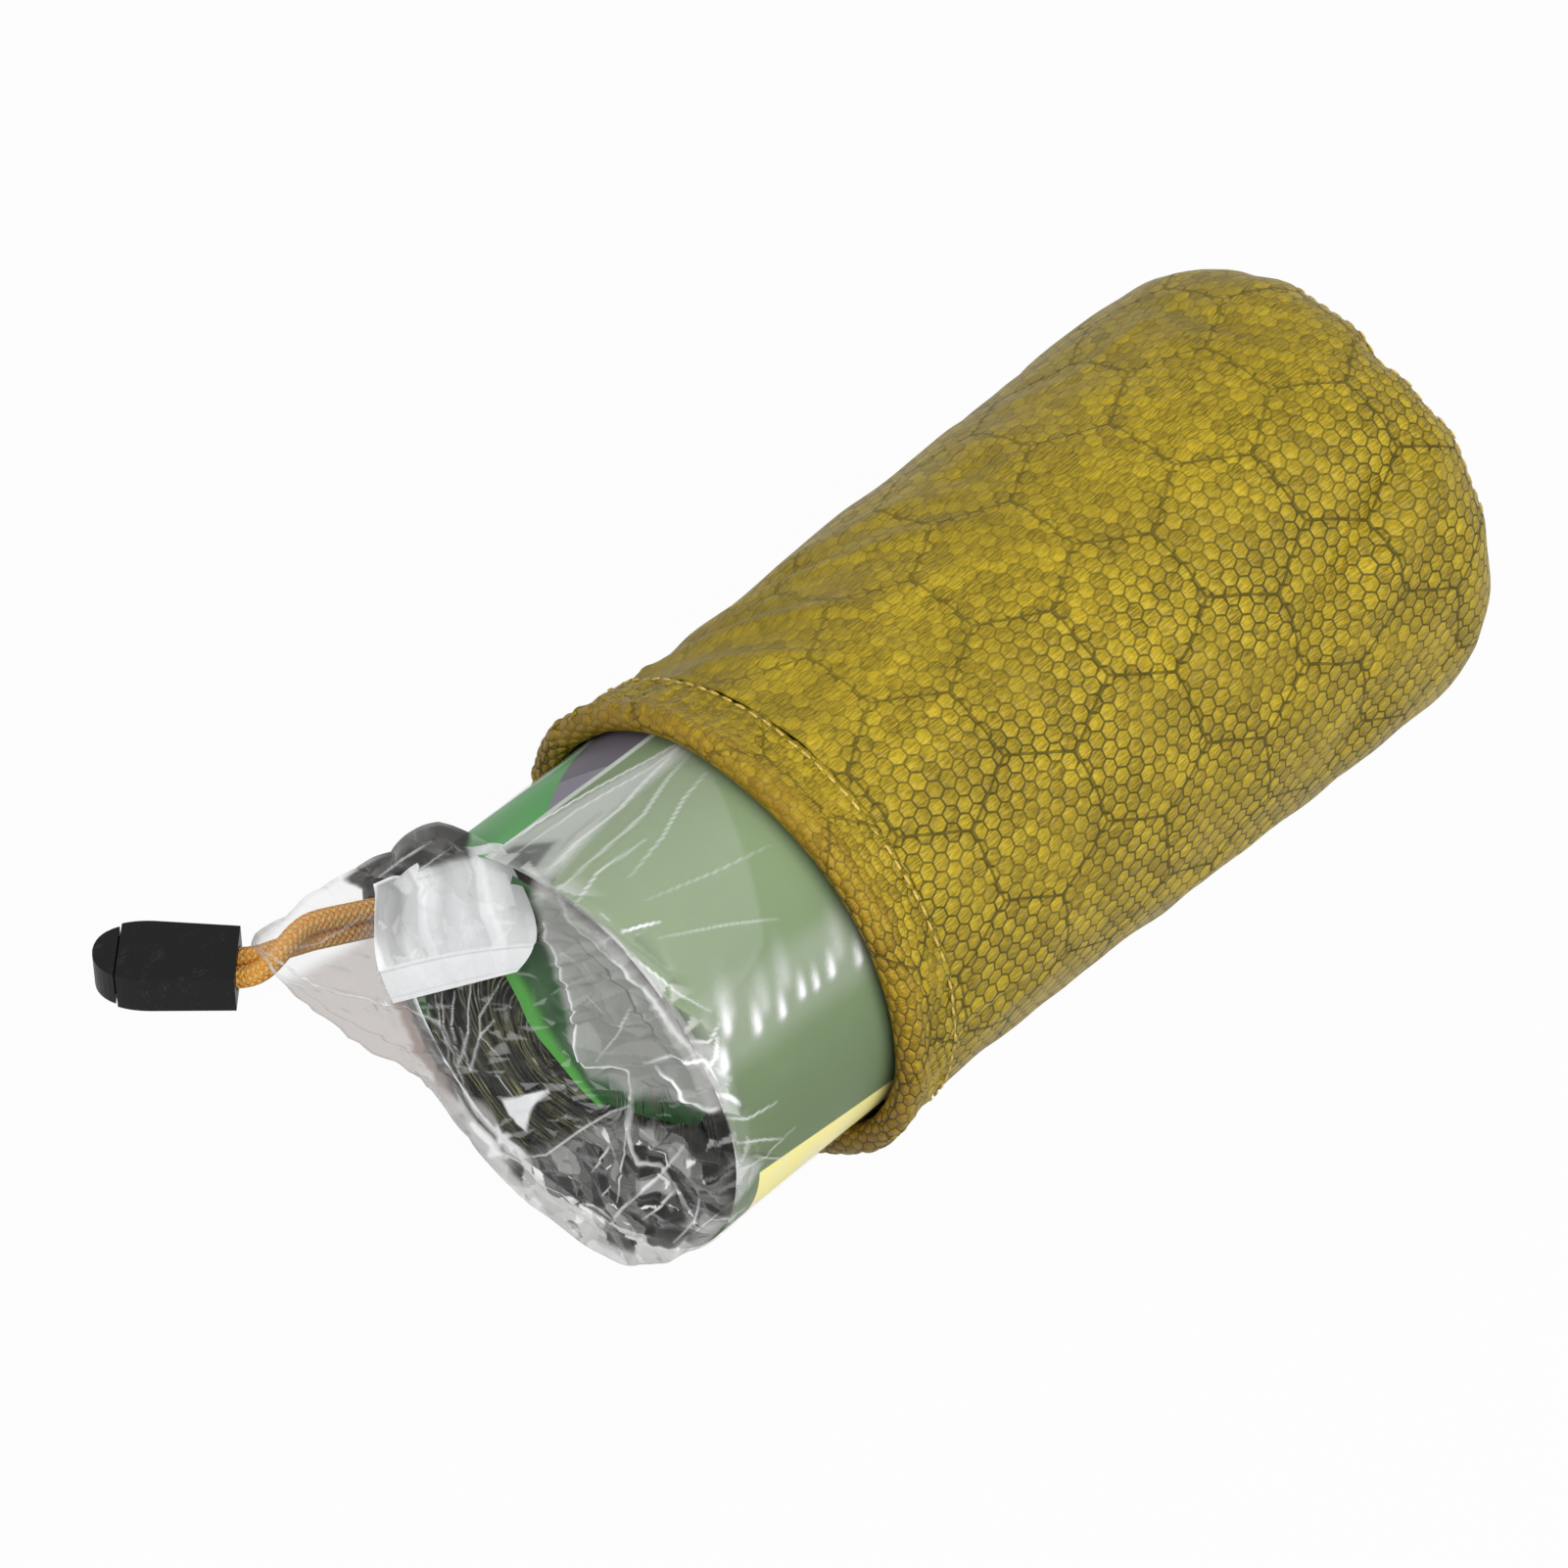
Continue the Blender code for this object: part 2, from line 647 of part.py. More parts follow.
def front_offsets(y, z):
    """How far the crumpled front's back and face stand forward of the roll's end at a place."""
    radius = math.hypot(y, z)
    share = min(1.0, radius / FILM_OUTER)
    pleat = FRONT_PLEAT * (1 + share * math.cos(FRONT_PLEATS * math.atan2(z, y)))
    ear = min(1.0, max(0.0, radius - FILM_OUTER) / (EAR_TIP[0] - FILM_OUTER))
    back = EAR_FORWARD * ear
    return back, back + FRONT_THICKNESS + FRONT_CROWN * (1 - share ** 3) + pleat


def film_front(mats):
    """Crumpled film over the roll's end: a loft of rings, flat behind and crowned in front."""
    outline = front_outline()
    count = len(outline)
    shares = (0.3, 0.55, 0.78, 1.0)
    verts = []
    base = ROLL_FRONT_X - FIT
    for share in shares:
        for point in outline:
            y, z = point * share
            verts.append((base - front_offsets(y, z)[0], y, z))
    for share in reversed(shares):
        for point in outline:
            y, z = point * share
            verts.append((base - front_offsets(y, z)[1], y, z))
    back_centre = len(verts)
    verts.append((base, 0.0, 0.0))
    front_centre = len(verts)
    verts.append((base - front_offsets(0.0, 0.0)[1], 0.0, 0.0))
    faces = []
    rings = len(shares) * 2
    for i in range(count):
        after = (i + 1) % count
        faces.append((back_centre, i, after))
        for ring in range(rings - 1):
            low = ring * count
            faces.append((low + i, low + count + i, low + count + after, low + after))
        last = (rings - 1) * count
        faces.append((front_centre, last + after, last + i))
    mesh = bpy.data.meshes.new("film_front")
    mesh.from_pydata(verts, [], faces)
    work = bmesh.new()
    work.from_mesh(mesh)
    bmesh.ops.recalc_face_normals(work, faces=work.faces)
    work.to_mesh(mesh)
    work.free()
    return pack_object("film_front", mesh, mats["film"])


def film_flap(mats):
    """The film's folded flap, lying over the upper part of the crumpled front."""
    low_left, high_left, high_right, low_right = (Vector(p) for p in FLAP_CORNERS)
    columns = 12
    rows = 6
    verts = []
    faces = []
    for i in range(columns + 1):
        low = low_left.lerp(low_right, i / columns)
        high = high_left.lerp(high_right, i / columns)
        for j in range(rows + 1):
            y, z = low.lerp(high, j / rows)
            face = ROLL_FRONT_X - FIT - front_offsets(y, z)[1]
            verts.append((face - FLAP_LIFT - FLAP_THICKNESS / 2, y, z))
    for i in range(columns):
        for j in range(rows):
            corner = i * (rows + 1) + j
            faces.append((corner, corner + 1, corner + rows + 2, corner + rows + 1))
    mesh = bpy.data.meshes.new("flap")
    mesh.from_pydata(verts, [], faces)
    sheet = bpy.data.objects.new("flap", mesh)
    parts.objects.link(sheet)
    solid = sheet.modifiers.new("thickness", "SOLIDIFY")
    solid.thickness = FLAP_THICKNESS
    solid.offset = 0.0
    return pack_object("film_flap", evaluated_mesh(sheet), mats["frosted"])


# The cord lock

def lock_axis():
    """Empty on the lock's centre: local Z is the plunger's axis, local X the cord's way."""
    empty = bpy.data.objects.new("cord_lock_axis", None)
    empty.location = at_mouth(LOCK_PLACE[0], LOCK_PLACE[1], LOCK_Z)
    empty.rotation_euler = (math.radians(90), 0.0, math.radians(LOCK_TURN))
    parts.objects.link(empty)
    return empty


def slot_mesh(width, height, length, offset=0.0):
    """Rounded slot along local X for two strands side by side in local Y; width is local Z."""
    radius = HOLE_WIDTH / 2
    points = []
    for quarter in range(4):
        x_side = 1 if quarter in (0, 3) else -1
        y_side = 1 if quarter in (0, 1) else -1
        for i in range(5):
            angle = math.radians(90 * quarter + 90 * i / 4)
            x = x_side * (width / 2 - radius) + radius * math.cos(angle)
            y = y_side * (height / 2 - radius) + radius * math.sin(angle)
            if not points or math.dist(points[-1], (x, y)) > 0.01 * MM:
                points.append((x, y))
    if math.dist(points[-1], points[0]) < 0.01 * MM:
        points.pop()
    mesh = outline_mesh(points, length / 2)
    mesh.transform(Matrix.Rotation(math.radians(-90), 4, "Y"))
    mesh.transform(Matrix.Translation((0.0, 0.0, offset)))
    return mesh


def lock_child(name, mesh, empty, mat=None):
    """A piece that rides on the lock's empty."""
    smooth(mesh)
    obj = bpy.data.objects.new(name, mesh)
    obj.parent = empty
    if mat:
        link(obj, mat)
    else:
        as_cutter(obj)
    return obj


def cord_lock_body(mats, empty):
    """Barrel with a rounded closed end, a bore for the plunger and a slot for the strands."""
    profile = [(LOCK_FRONT, 0.0)]
    for i in range(5):
        angle = math.radians(90 * i / 4)
        profile.append((LOCK_FRONT - LOCK_FILLET * (1 - math.cos(angle)),
                        LOCK_RADIUS - LOCK_FILLET * (1 - math.sin(angle))))
    groove = -LOCK_BACK + 4 * LOCK_GROOVE
    profile += [
        (groove + LOCK_GROOVE, LOCK_RADIUS),
        (groove + LOCK_GROOVE / 2, LOCK_RADIUS - LOCK_GROOVE),
        (groove, LOCK_RADIUS),
        (-LOCK_BACK + LOCK_GROOVE, LOCK_RADIUS),
        (-LOCK_BACK, LOCK_RADIUS - LOCK_GROOVE),
        (-LOCK_BACK, LOCK_BORE_RADIUS),
        (LOCK_FRONT - LOCK_END_WALL, LOCK_BORE_RADIUS),
        (LOCK_FRONT - LOCK_END_WALL, 0.0),
    ]
    body = lock_child("cord_lock_body", turned_mesh(profile, False, 32), empty, mats["black"])
    hole = slot_mesh(HOLE_WIDTH, HOLE_HEIGHT, 4 * LOCK_RADIUS)
    add_modifier_boolean(body, lock_child("lock_hole", hole, empty))
    return body


def cord_lock_plunger(mats, empty):
    """Plunger whose slot leaves room for its travel past the strands."""
    inner_end = HOLE_WIDTH / 2 + PLUNGER_WEB
    outer_end = -LOCK_BACK - PLUNGER_OUT
    edge = 3 * LOCK_GROOVE
    profile = [
        (inner_end, 0.0),
        (inner_end, PLUNGER_RADIUS),
        (outer_end + edge, PLUNGER_RADIUS),
        (outer_end + edge * 0.3, PLUNGER_RADIUS - edge * 0.3),
        (outer_end, PLUNGER_RADIUS - edge),
        (outer_end, 0.0),
    ]
    mesh = turned_mesh(profile, False, 32)
    plunger = lock_child("cord_lock_plunger", mesh, empty, mats["black"])
    slot = slot_mesh(HOLE_WIDTH + PLUNGER_TRAVEL, HOLE_HEIGHT, 4 * PLUNGER_RADIUS,
                     -PLUNGER_TRAVEL / 2)
    add_modifier_boolean(plunger, lock_child("plunger_slot", slot, empty))
    return plunger


def cord_lock_spring(mats, empty):
    """Coil spring between the plunger's end and the bottom of the barrel."""
    start = HOLE_WIDTH / 2 + PLUNGER_WEB + FIT + SPRING_WIRE / 2
    end = LOCK_FRONT - LOCK_END_WALL - FIT - SPRING_WIRE / 2
    radius = PLUNGER_RADIUS - SPRING_INSET - SPRING_WIRE / 2
    steps = round(SPRING_TURNS * 12)
    points = []
    for i in range(steps + 1):
        angle = math.tau * SPRING_TURNS * i / steps
        points.append(Vector((radius * math.cos(angle), radius * math.sin(angle),
                              start + (end - start) * i / steps)))
    print(f"least gap in the spring: {((end - start) / SPRING_TURNS - SPRING_WIRE) / MM:.2f} mm")
    spring = tube_object("cord_lock_spring", points, SPRING_WIRE / 2, mats["spring"], 1)
    spring.parent = empty
    return spring


# The cord end

def toggle_axis():
    """Empty at the cord end's mouth: local X points to its rounded end."""
    empty = bpy.data.objects.new("toggle_axis", None)
    empty.location = at_mouth(TOGGLE_PLACE[0], TOGGLE_PLACE[1], TOGGLE_Z)
    empty.rotation_euler = (0.0, 0.0, math.radians(TOGGLE_TURN))
    parts.objects.link(empty)
    return empty


def toggle_half_width(along):
    """Half the cord end's width at a distance from its mouth."""
    centre = TOGGLE_LENGTH * TOGGLE_STRAIGHT
    if along <= centre:
        share = along / centre
        return (TOGGLE_MOUTH_WIDTH + (TOGGLE_WIDTH - TOGGLE_MOUTH_WIDTH) * share) / 2
    share = (along - centre) / (TOGGLE_LENGTH - centre)
    return TOGGLE_WIDTH / 2 * max(0.0, 1 - share ** TOGGLE_ROUNDING) ** (1 / TOGGLE_ROUNDING)


def toggle_outline(stations, inset=0.0):
    """Outline through stations along the cord end, mirrored about its axis."""
    side = [(x, toggle_half_width(x) - inset) for x in stations]
    return side + [(x, -y) for x, y in reversed(side) if y > 0.01 * MM]


def toggle_child(name, mesh, empty, mat=None):
    """A piece that rides on the cord end's empty."""
    smooth(mesh)
    obj = bpy.data.objects.new(name, mesh)
    obj.parent = empty
    if mat:
        link(obj, mat)
    else:
        as_cutter(obj)
    return obj


def cavity_size():
    """Width and height of the cord end's cavity."""
    width = TOGGLE_MOUTH_WIDTH - 2 * TOGGLE_WALL - 2 * TOGGLE_CAP_STEP
    return width, TOGGLE_HEIGHT - 2 * TOGGLE_WALL


def toggle_body(mats, empty):
    """Flat housing with a slot for the strands and a cavity for their knot."""
    length = TOGGLE_BODY_LENGTH
    centre = TOGGLE_LENGTH * TOGGLE_STRAIGHT
    stations = [0.0, centre] + [centre + (length - centre) * i / 5 for i in range(1, 6)]
    mesh = outline_mesh(toggle_outline(stations), TOGGLE_HEIGHT / 2, TOGGLE_EDGE)
    body = toggle_child("toggle_body", mesh, empty, mats["black"])
    width, height = cavity_size()
    cavity = box_mesh((length, width, height), (MOUTH_WALL + length / 2, 0, 0))
    add_modifier_boolean(body, toggle_child("toggle_cavity", cavity, empty))
    slot = slot_mesh(HOLE_WIDTH, HOLE_HEIGHT, 4 * MOUTH_WALL)
    add_modifier_boolean(body, toggle_child("toggle_slot", slot, empty))
    return body


def toggle_cap(mats, empty):
    """Rounded end cap with a tongue that plugs into the cavity."""
    start = TOGGLE_BODY_LENGTH + FIT
    end = TOGGLE_LENGTH
    shares = (0.0, 0.26, 0.48, 0.66, 0.8, 0.9, 0.97)
    stations = [start + (end - start) * share for share in shares]
    points = toggle_outline(stations, TOGGLE_CAP_STEP)
    points.insert(len(stations), (end, 0.0))
    mesh = outline_mesh(points, TOGGLE_HEIGHT / 2 - TOGGLE_CAP_STEP, TOGGLE_EDGE)
    cap = toggle_child("toggle_cap", mesh, empty, mats["black"])
    width, height = cavity_size()
    tongue_size = (TOGGLE_TONGUE + 2 * FIT, width - 2 * FIT, height - 2 * FIT)
    tongue = box_mesh(tongue_size, (start - TOGGLE_TONGUE / 2, 0, 0))
    add_modifier_boolean(cap, toggle_child("cap_tongue", tongue, empty), "UNION")
    return cap


def drawcord_knot(mats, empty):
    """The strands' knot, drawn tight inside the cord end."""
    width, height = cavity_size()
    work = bmesh.new()
    bmesh.ops.create_uvsphere(work, u_segments=16, v_segments=9, radius=0.5)
    size = Vector((KNOT_LENGTH, width - 4 * FIT, height - 2 * FIT))
    bmesh.ops.scale(work, vec=size, verts=work.verts)
    centre = TOGGLE_BODY_LENGTH - TOGGLE_TONGUE - FIT - KNOT_LENGTH / 2
    bmesh.ops.translate(work, vec=Vector((centre, 0, 0)), verts=work.verts)
    mesh = bpy.data.meshes.new("drawcord_knot")
    work.to_mesh(mesh)
    work.free()
    return toggle_child("drawcord_knot", mesh, empty, mats["cord"])


def main():
    clear_scene()
    mats = make_materials()
    sack_body(mats)
    end_panel(mats)
    mouth_hem(mats)
    drawcord_in_hem(mats)
    drawcord_tails(mats)
    sleeping_bag_roll(mats)
    card_wrap(mats)
    film_tube(mats)
    film_end_seal(mats)
    film_front(mats)
    film_flap(mats)
    lock = lock_axis()
    cord_lock_body(mats, lock)
    cord_lock_plunger(mats, lock)
    cord_lock_spring(mats, lock)
    toggle = toggle_axis()
    toggle_body(mats, toggle)
    toggle_cap(mats, toggle)
    drawcord_knot(mats, toggle)


main()
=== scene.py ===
"""Looks of an emergency sleeping bag, rolled in its card and clear film, in a drawstring sack.

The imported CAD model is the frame. Each operator dresses one piece or a group of like pieces.
"""

import math

import bmesh
import bpy
import numpy as np
from mathutils import Matrix, Vector
from mathutils.geometry import delaunay_2d_cdt


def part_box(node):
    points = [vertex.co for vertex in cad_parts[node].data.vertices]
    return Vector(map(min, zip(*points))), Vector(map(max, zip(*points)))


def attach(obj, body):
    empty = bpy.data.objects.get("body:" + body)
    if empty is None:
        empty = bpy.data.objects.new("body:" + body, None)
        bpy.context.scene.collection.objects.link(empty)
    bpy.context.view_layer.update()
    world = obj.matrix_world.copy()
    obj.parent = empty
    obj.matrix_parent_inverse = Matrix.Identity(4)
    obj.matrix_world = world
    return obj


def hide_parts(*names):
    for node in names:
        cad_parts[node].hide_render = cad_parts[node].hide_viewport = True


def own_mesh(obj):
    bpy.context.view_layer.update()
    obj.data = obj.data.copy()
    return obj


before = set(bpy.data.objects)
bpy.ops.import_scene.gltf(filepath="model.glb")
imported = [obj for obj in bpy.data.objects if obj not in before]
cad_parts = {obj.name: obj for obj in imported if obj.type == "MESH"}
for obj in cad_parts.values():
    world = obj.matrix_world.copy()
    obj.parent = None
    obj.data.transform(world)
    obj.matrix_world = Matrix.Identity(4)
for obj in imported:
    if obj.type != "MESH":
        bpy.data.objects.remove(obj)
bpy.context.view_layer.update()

bl_info = {
    "name": "Emergency Sleeping Bag",
    "version": (1, 0, 0),
    "blender": (4, 5, 0),
    "location": "View3D > Sidebar > Sleeping Bag",
    "description": "Dresses a rolled emergency sleeping bag and its stuff sack",
    "category": "Add Mesh",
}

MM = 0.001

# Sizes read from the CAD model
HEM_LOW, HEM_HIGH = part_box("mouth_hem")
ROLL_LOW, ROLL_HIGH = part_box("sleeping_bag_roll")
CARD_LOW, CARD_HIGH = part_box("card_wrap")
MOUTH_X = HEM_LOW[0]
HEM_BACK_X = HEM_HIGH[0]
END_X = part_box("end_panel")[1][0]
HEM_OUTER = (HEM_HIGH[1] - HEM_LOW[1]) / 2
AXIS_Z = HEM_HIGH[2] - HEM_OUTER
PRESSED = HEM_OUTER - AXIS_Z
ROLL_FRONT_X = ROLL_LOW[0]
ROLL_BACK_X = ROLL_HIGH[0]
CARD_OUTER = CARD_HIGH[2] - AXIS_Z
FILM_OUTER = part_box("film_tube")[1][2] - AXIS_Z
SACK_END_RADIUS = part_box("sack_body")[1][2] - AXIS_Z

# Sizes of the design that no box gives
CORD_DIAMETER = 3.7 * MM
TUNNEL_RADIUS = 2.5 * MM
TUNNEL_RING = HEM_OUTER - TUNNEL_RADIUS
TUNNEL_X = MOUTH_X + TUNNEL_RADIUS
SLIT_ANGLE = math.radians(54)
SLIT_HALF = 9.5 * MM
CORNER = 15.0 * MM
CORNER_SEAM = math.radians(50)
BULGE = 1.4 * MM
FLOOR_GAP = 0.25 * MM
FOLD_RADIUS = 41.0 * MM
CLOTH_UV_RADIUS = 41.6 * MM
LARGE_CELL_PITCHES = 8
BRAID_STRANDS = 8.0
BRAID_LAY = 8.5 * MM
END_UV = (0.2, 0.4)

# The drawcord's two strands as the CAD source lays them, in millimetres:
# out in front of the mouth, across, up
STRAND_A = (
    (-2.5, 35.9, 25.2), (-2.5, 35.3, 22.1), (-2.5, 35.6, 19), (-2.6, 36.9, 16.1),
    (-2.6, 39, 13.8), (-2.8, 40.6, 12.8), (-3.1, 42.3, 12), (-3.5, 44.1, 11.4),
    (-3.8, 46, 10.9), (-3.9, 48, 10.6), (-3.6, 49.8, 10.4), (-3, 51.6, 10.2),
    (-1.8, 53.3, 10.2), (0.1, 54.7, 10.1), (5.3, 57.7, 10.1), (10.6, 60.8, 10.1),
    (15.8, 63.8, 10.1), (21.1, 66.9, 10.1), (23.5, 67.9, 9.9), (25.8, 68.2, 9.3),
    (27.8, 68.3, 8.3), (29.7, 68.6, 7), (31.5, 69.2, 5.5), (33.3, 70.3, 4.4), (35.1, 72, 3.9),
    (37.1, 74.3, 3.8), (39.1, 76.6, 3.8), (40.9, 78.6, 3.8),
)
STRAND_B = (
    (-2.5, 24.8, 9.9), (-2.5, 27.5, 11.4), (-2.5, 30.7, 12), (-2.4, 34, 11.6),
    (-2.4, 36.9, 10.3), (-2.5, 38.7, 9.1), (-2.8, 40.8, 8.2), (-3.3, 43, 7.5),
    (-3.7, 45.2, 6.9), (-3.9, 47.4, 6.5), (-3.7, 49.5, 6.3), (-3.1, 51.4, 6.1),
    (-1.9, 53.2, 6.1), (0, 54.7, 6.1), (5.3, 57.7, 6), (10.6, 60.8, 6), (15.8, 63.8, 6),
    (21.1, 66.8, 6.1), (22.7, 67.9, 5.9), (24.3, 69, 5.5), (25.9, 70.2, 5), (27.6, 71.4, 4.6),
    (29.2, 72.4, 4.2), (30.7, 73.5, 4), (32.1, 74.8, 3.9), (34, 77, 3.8), (36, 79.3, 3.8),
    (37.8, 81.3, 3.8),
)


# Node helpers

def give(tree, socket, value):
    """Link a socket to the one given, or set its value."""
    if isinstance(value, bpy.types.NodeSocket):
        tree.links.new(value, socket)
    elif socket.type == "RGBA":
        socket.default_value = (*value[:3], 1.0)
    else:
        socket.default_value = value


def put(tree, kind, inputs=(), **settings):
    """A node with its settings; each input is a socket to link, a value or None."""
    node = tree.nodes.new(kind)
    for key, value in settings.items():
        setattr(node, key, value)
    pairs = inputs.items() if isinstance(inputs, dict) else enumerate(inputs)
    for key, value in pairs:
        if value is not None:
            give(tree, node.inputs[key], value)
    return node


def calc(tree, operation, *values, clamp=False):
    """A Math node's result."""
    return put(tree, "ShaderNodeMath", values, operation=operation, use_clamp=clamp).outputs[0]


def times(tree, first, second):
    """A product."""
    return calc(tree, "MULTIPLY", first, second)


def plus(tree, first, second):
    """A sum."""
    return calc(tree, "ADD", first, second)


def minus(tree, first, second):
    """A difference."""
    return calc(tree, "SUBTRACT", first, second)


def vec(tree, operation, *values):
    """A Vector Math node's vector."""
    return put(tree, "ShaderNodeVectorMath", values, operation=operation).outputs["Vector"]


def dot(tree, first, second):
    """Dot product of two vectors."""
    node = put(tree, "ShaderNodeVectorMath", (first, second), operation="DOT_PRODUCT")
    return node.outputs["Value"]


def smooth_step(tree, value, low, high, start=0.0, end=1.0):
    """A value mapped smoothly from one range to another, and held outside it."""
    node = put(tree, "ShaderNodeMapRange", (value, low, high, start, end),
               interpolation_type="SMOOTHSTEP")
    return node.outputs[0]


def between(tree, value, low, high, soft):
    """1 where a value lies between two limits, with soft edges."""
    rise = smooth_step(tree, value, low - soft, low + soft)
    fall = smooth_step(tree, value, high - soft, high + soft, 1.0, 0.0)
    return times(tree, rise, fall)


def blend_color(tree, factor, first, second):
    """Two colours mixed by a factor."""
    return put(tree, "ShaderNodeMix", {0: factor, 6: first, 7: second},
               data_type="RGBA").outputs[2]


def noise(tree, place, scale, detail=2.0, rough=0.5, distortion=0.0):
    """Noise from 0 to 1."""
    node = put(tree, "ShaderNodeTexNoise", {"Vector": place, "Scale": scale, "Detail": detail,
                                            "Roughness": rough, "Distortion": distortion})
    return node.outputs[0]


def centred_noise(tree, place, scale, detail):
    """A noise vector, each part of it from -0.5 to 0.5."""
    node = put(tree, "ShaderNodeTexNoise", {"Vector": place, "Scale": scale, "Detail": detail})
    return vec(tree, "SUBTRACT", node.outputs["Color"], (0.5, 0.5, 0.5))


def stretched(tree, place, x, y, z):
    """A place scaled along each axis."""
    return vec(tree, "MULTIPLY", place, (x, y, z))


def scaled(tree, place, scale):
    """A place scaled alike along all axes."""
    return put(tree, "ShaderNodeVectorMath", {0: place, "Scale": scale},
               operation="SCALE").outputs[0]


def uv_place(tree, name):
    """The piece's own UV map, in metres."""
    return put(tree, "ShaderNodeUVMap", uv_map=name).outputs[0]


def object_place(tree):
    """Object coordinates."""
    return put(tree, "ShaderNodeTexCoord").outputs["Object"]


def attribute(tree, name):
    """A float attribute of the piece."""
    return put(tree, "ShaderNodeAttribute", attribute_name=name).outputs["Fac"]


def bump(tree, height, distance):
    """A Bump node's normal; distance is in metres."""
    return put(tree, "ShaderNodeBump", {"Height": height, "Distance": distance,
                                        "Strength": 1.0}).outputs[0]


def new_material(name):
    """An empty material with its tree, its Principled shader and its output."""
    mat = bpy.data.materials.new(name)
    mat.use_nodes = True
    tree = mat.node_tree
    tree.nodes.clear()
    shader = tree.nodes.new("ShaderNodeBsdfPrincipled")
    output = tree.nodes.new("ShaderNodeOutputMaterial")
    tree.links.new(shader.outputs[0], output.inputs[0])
    return mat, tree, shader, output


def feed(tree, shader, **inputs):
    """Link or set inputs of the Principled shader; names have underscores for spaces."""
    for key, value in inputs.items():
        give(tree, shader.inputs[key.replace("_", " ")], value)


def new_group(name, kind, sockets):
    """A node group with its sockets, as (name, in or out, type, default)."""
    tree = bpy.data.node_groups.new(name, kind)
    for label, way, socket_kind, default in sockets:
        socket = tree.interface.new_socket(label, in_out=way, socket_type=socket_kind)
        if default is not None:
            socket.default_value = default
    start = tree.nodes.new("NodeGroupInput")
    end = tree.nodes.new("NodeGroupOutput")
    return tree, start, end


def use_group(tree, name, **inputs):
    """A shared shader group placed in a material with its own values."""
    return put(tree, "ShaderNodeGroup", inputs, node_tree=group(name))


# Shared shader groups

def honeycomb_group():
    """Hexagonal cells: how near a place is to its cell's border, and a shade for each cell."""
    tree, start, end = new_group("Honeycomb", "ShaderNodeTree", (
        ("Place", "INPUT", "NodeSocketVector", None),
        ("Pitch", "INPUT", "NodeSocketFloat", 0.0029),
        ("Border", "OUTPUT", "NodeSocketFloat", None),
        ("Shade", "OUTPUT", "NodeSocketFloat", None),
    ))
    size = (1.0, math.sqrt(3), 1.0)
    half = (0.5, math.sqrt(3) / 2, 0.0)
    cells = calc(tree, "DIVIDE", 1.0, start.outputs["Pitch"])
    spot = stretched(tree, scaled(tree, start.outputs["Place"], cells), 1.0, 1.0, 0.0)

    def nearest(place):
        share = vec(tree, "ADD", vec(tree, "DIVIDE", place, size), (0.5, 0.5, 0.5))
        share = vec(tree, "SUBTRACT", vec(tree, "FRACTION", share), (0.5, 0.5, 0.5))
        return vec(tree, "MULTIPLY", share, size)

    first = nearest(spot)
    second = nearest(vec(tree, "SUBTRACT", spot, half))
    closer = calc(tree, "LESS_THAN", dot(tree, first, first), dot(tree, second, second))
    offset = put(tree, "ShaderNodeMix", {0: closer, 4: second, 5: first},
                 data_type="VECTOR").outputs[1]
    local = vec(tree, "ABSOLUTE", offset)
    flat = dot(tree, local, (1.0, 0.0, 0.0))
    slanted = dot(tree, local, half)
    border = times(tree, calc(tree, "MAXIMUM", flat, slanted), 2.0)
    tree.links.new(border, end.inputs["Border"])
    centre = vec(tree, "SUBTRACT", spot, offset)
    centre = vec(tree, "ADD", stretched(tree, centre, 20, 20, 0), (0.26, 0.26, 0.0))
    shade = put(tree, "ShaderNodeTexWhiteNoise", {0: vec(tree, "FLOOR", centre)})
    tree.links.new(shade.outputs["Value"], end.inputs["Shade"])
    return tree


def crumple_group():
    """Flat facets with creases between them, as in crumpled film: a height and the creases."""
    tree, start, end = new_group("Crumple", "ShaderNodeTree", (
        ("Place", "INPUT", "NodeSocketVector", None),
        ("Facets", "INPUT", "NodeSocketFloat", 150.0),
        ("Height", "OUTPUT", "NodeSocketFloat", None),
        ("Crease", "OUTPUT", "NodeSocketFloat", None),
    ))
    place, count = start.outputs["Place"], start.outputs["Facets"]
    wobble = stretched(tree, centred_noise(tree, place, 90.0, 2.0), 0.004, 0.004, 0.004)
    place = vec(tree, "ADD", place, wobble)
    facets = put(tree, "ShaderNodeTexVoronoi", {"Vector": place, "Scale": count})
    spot = scaled(tree, place, count)
    centre = scaled(tree, facets.outputs["Position"], count)
    tilt = vec(tree, "SUBTRACT", facets.outputs["Color"], (0.5, 0.5, 0.5))
    height = dot(tree, vec(tree, "SUBTRACT", spot, centre), tilt)
    tree.links.new(height, end.inputs["Height"])
    edges = put(tree, "ShaderNodeTexVoronoi", {"Vector": place, "Scale": count},
                feature="DISTANCE_TO_EDGE")
    crease = smooth_step(tree, edges.outputs["Distance"], 0.0, 0.07, 1.0, 0.0)
    tree.links.new(crease, end.inputs["Crease"])
    return tree


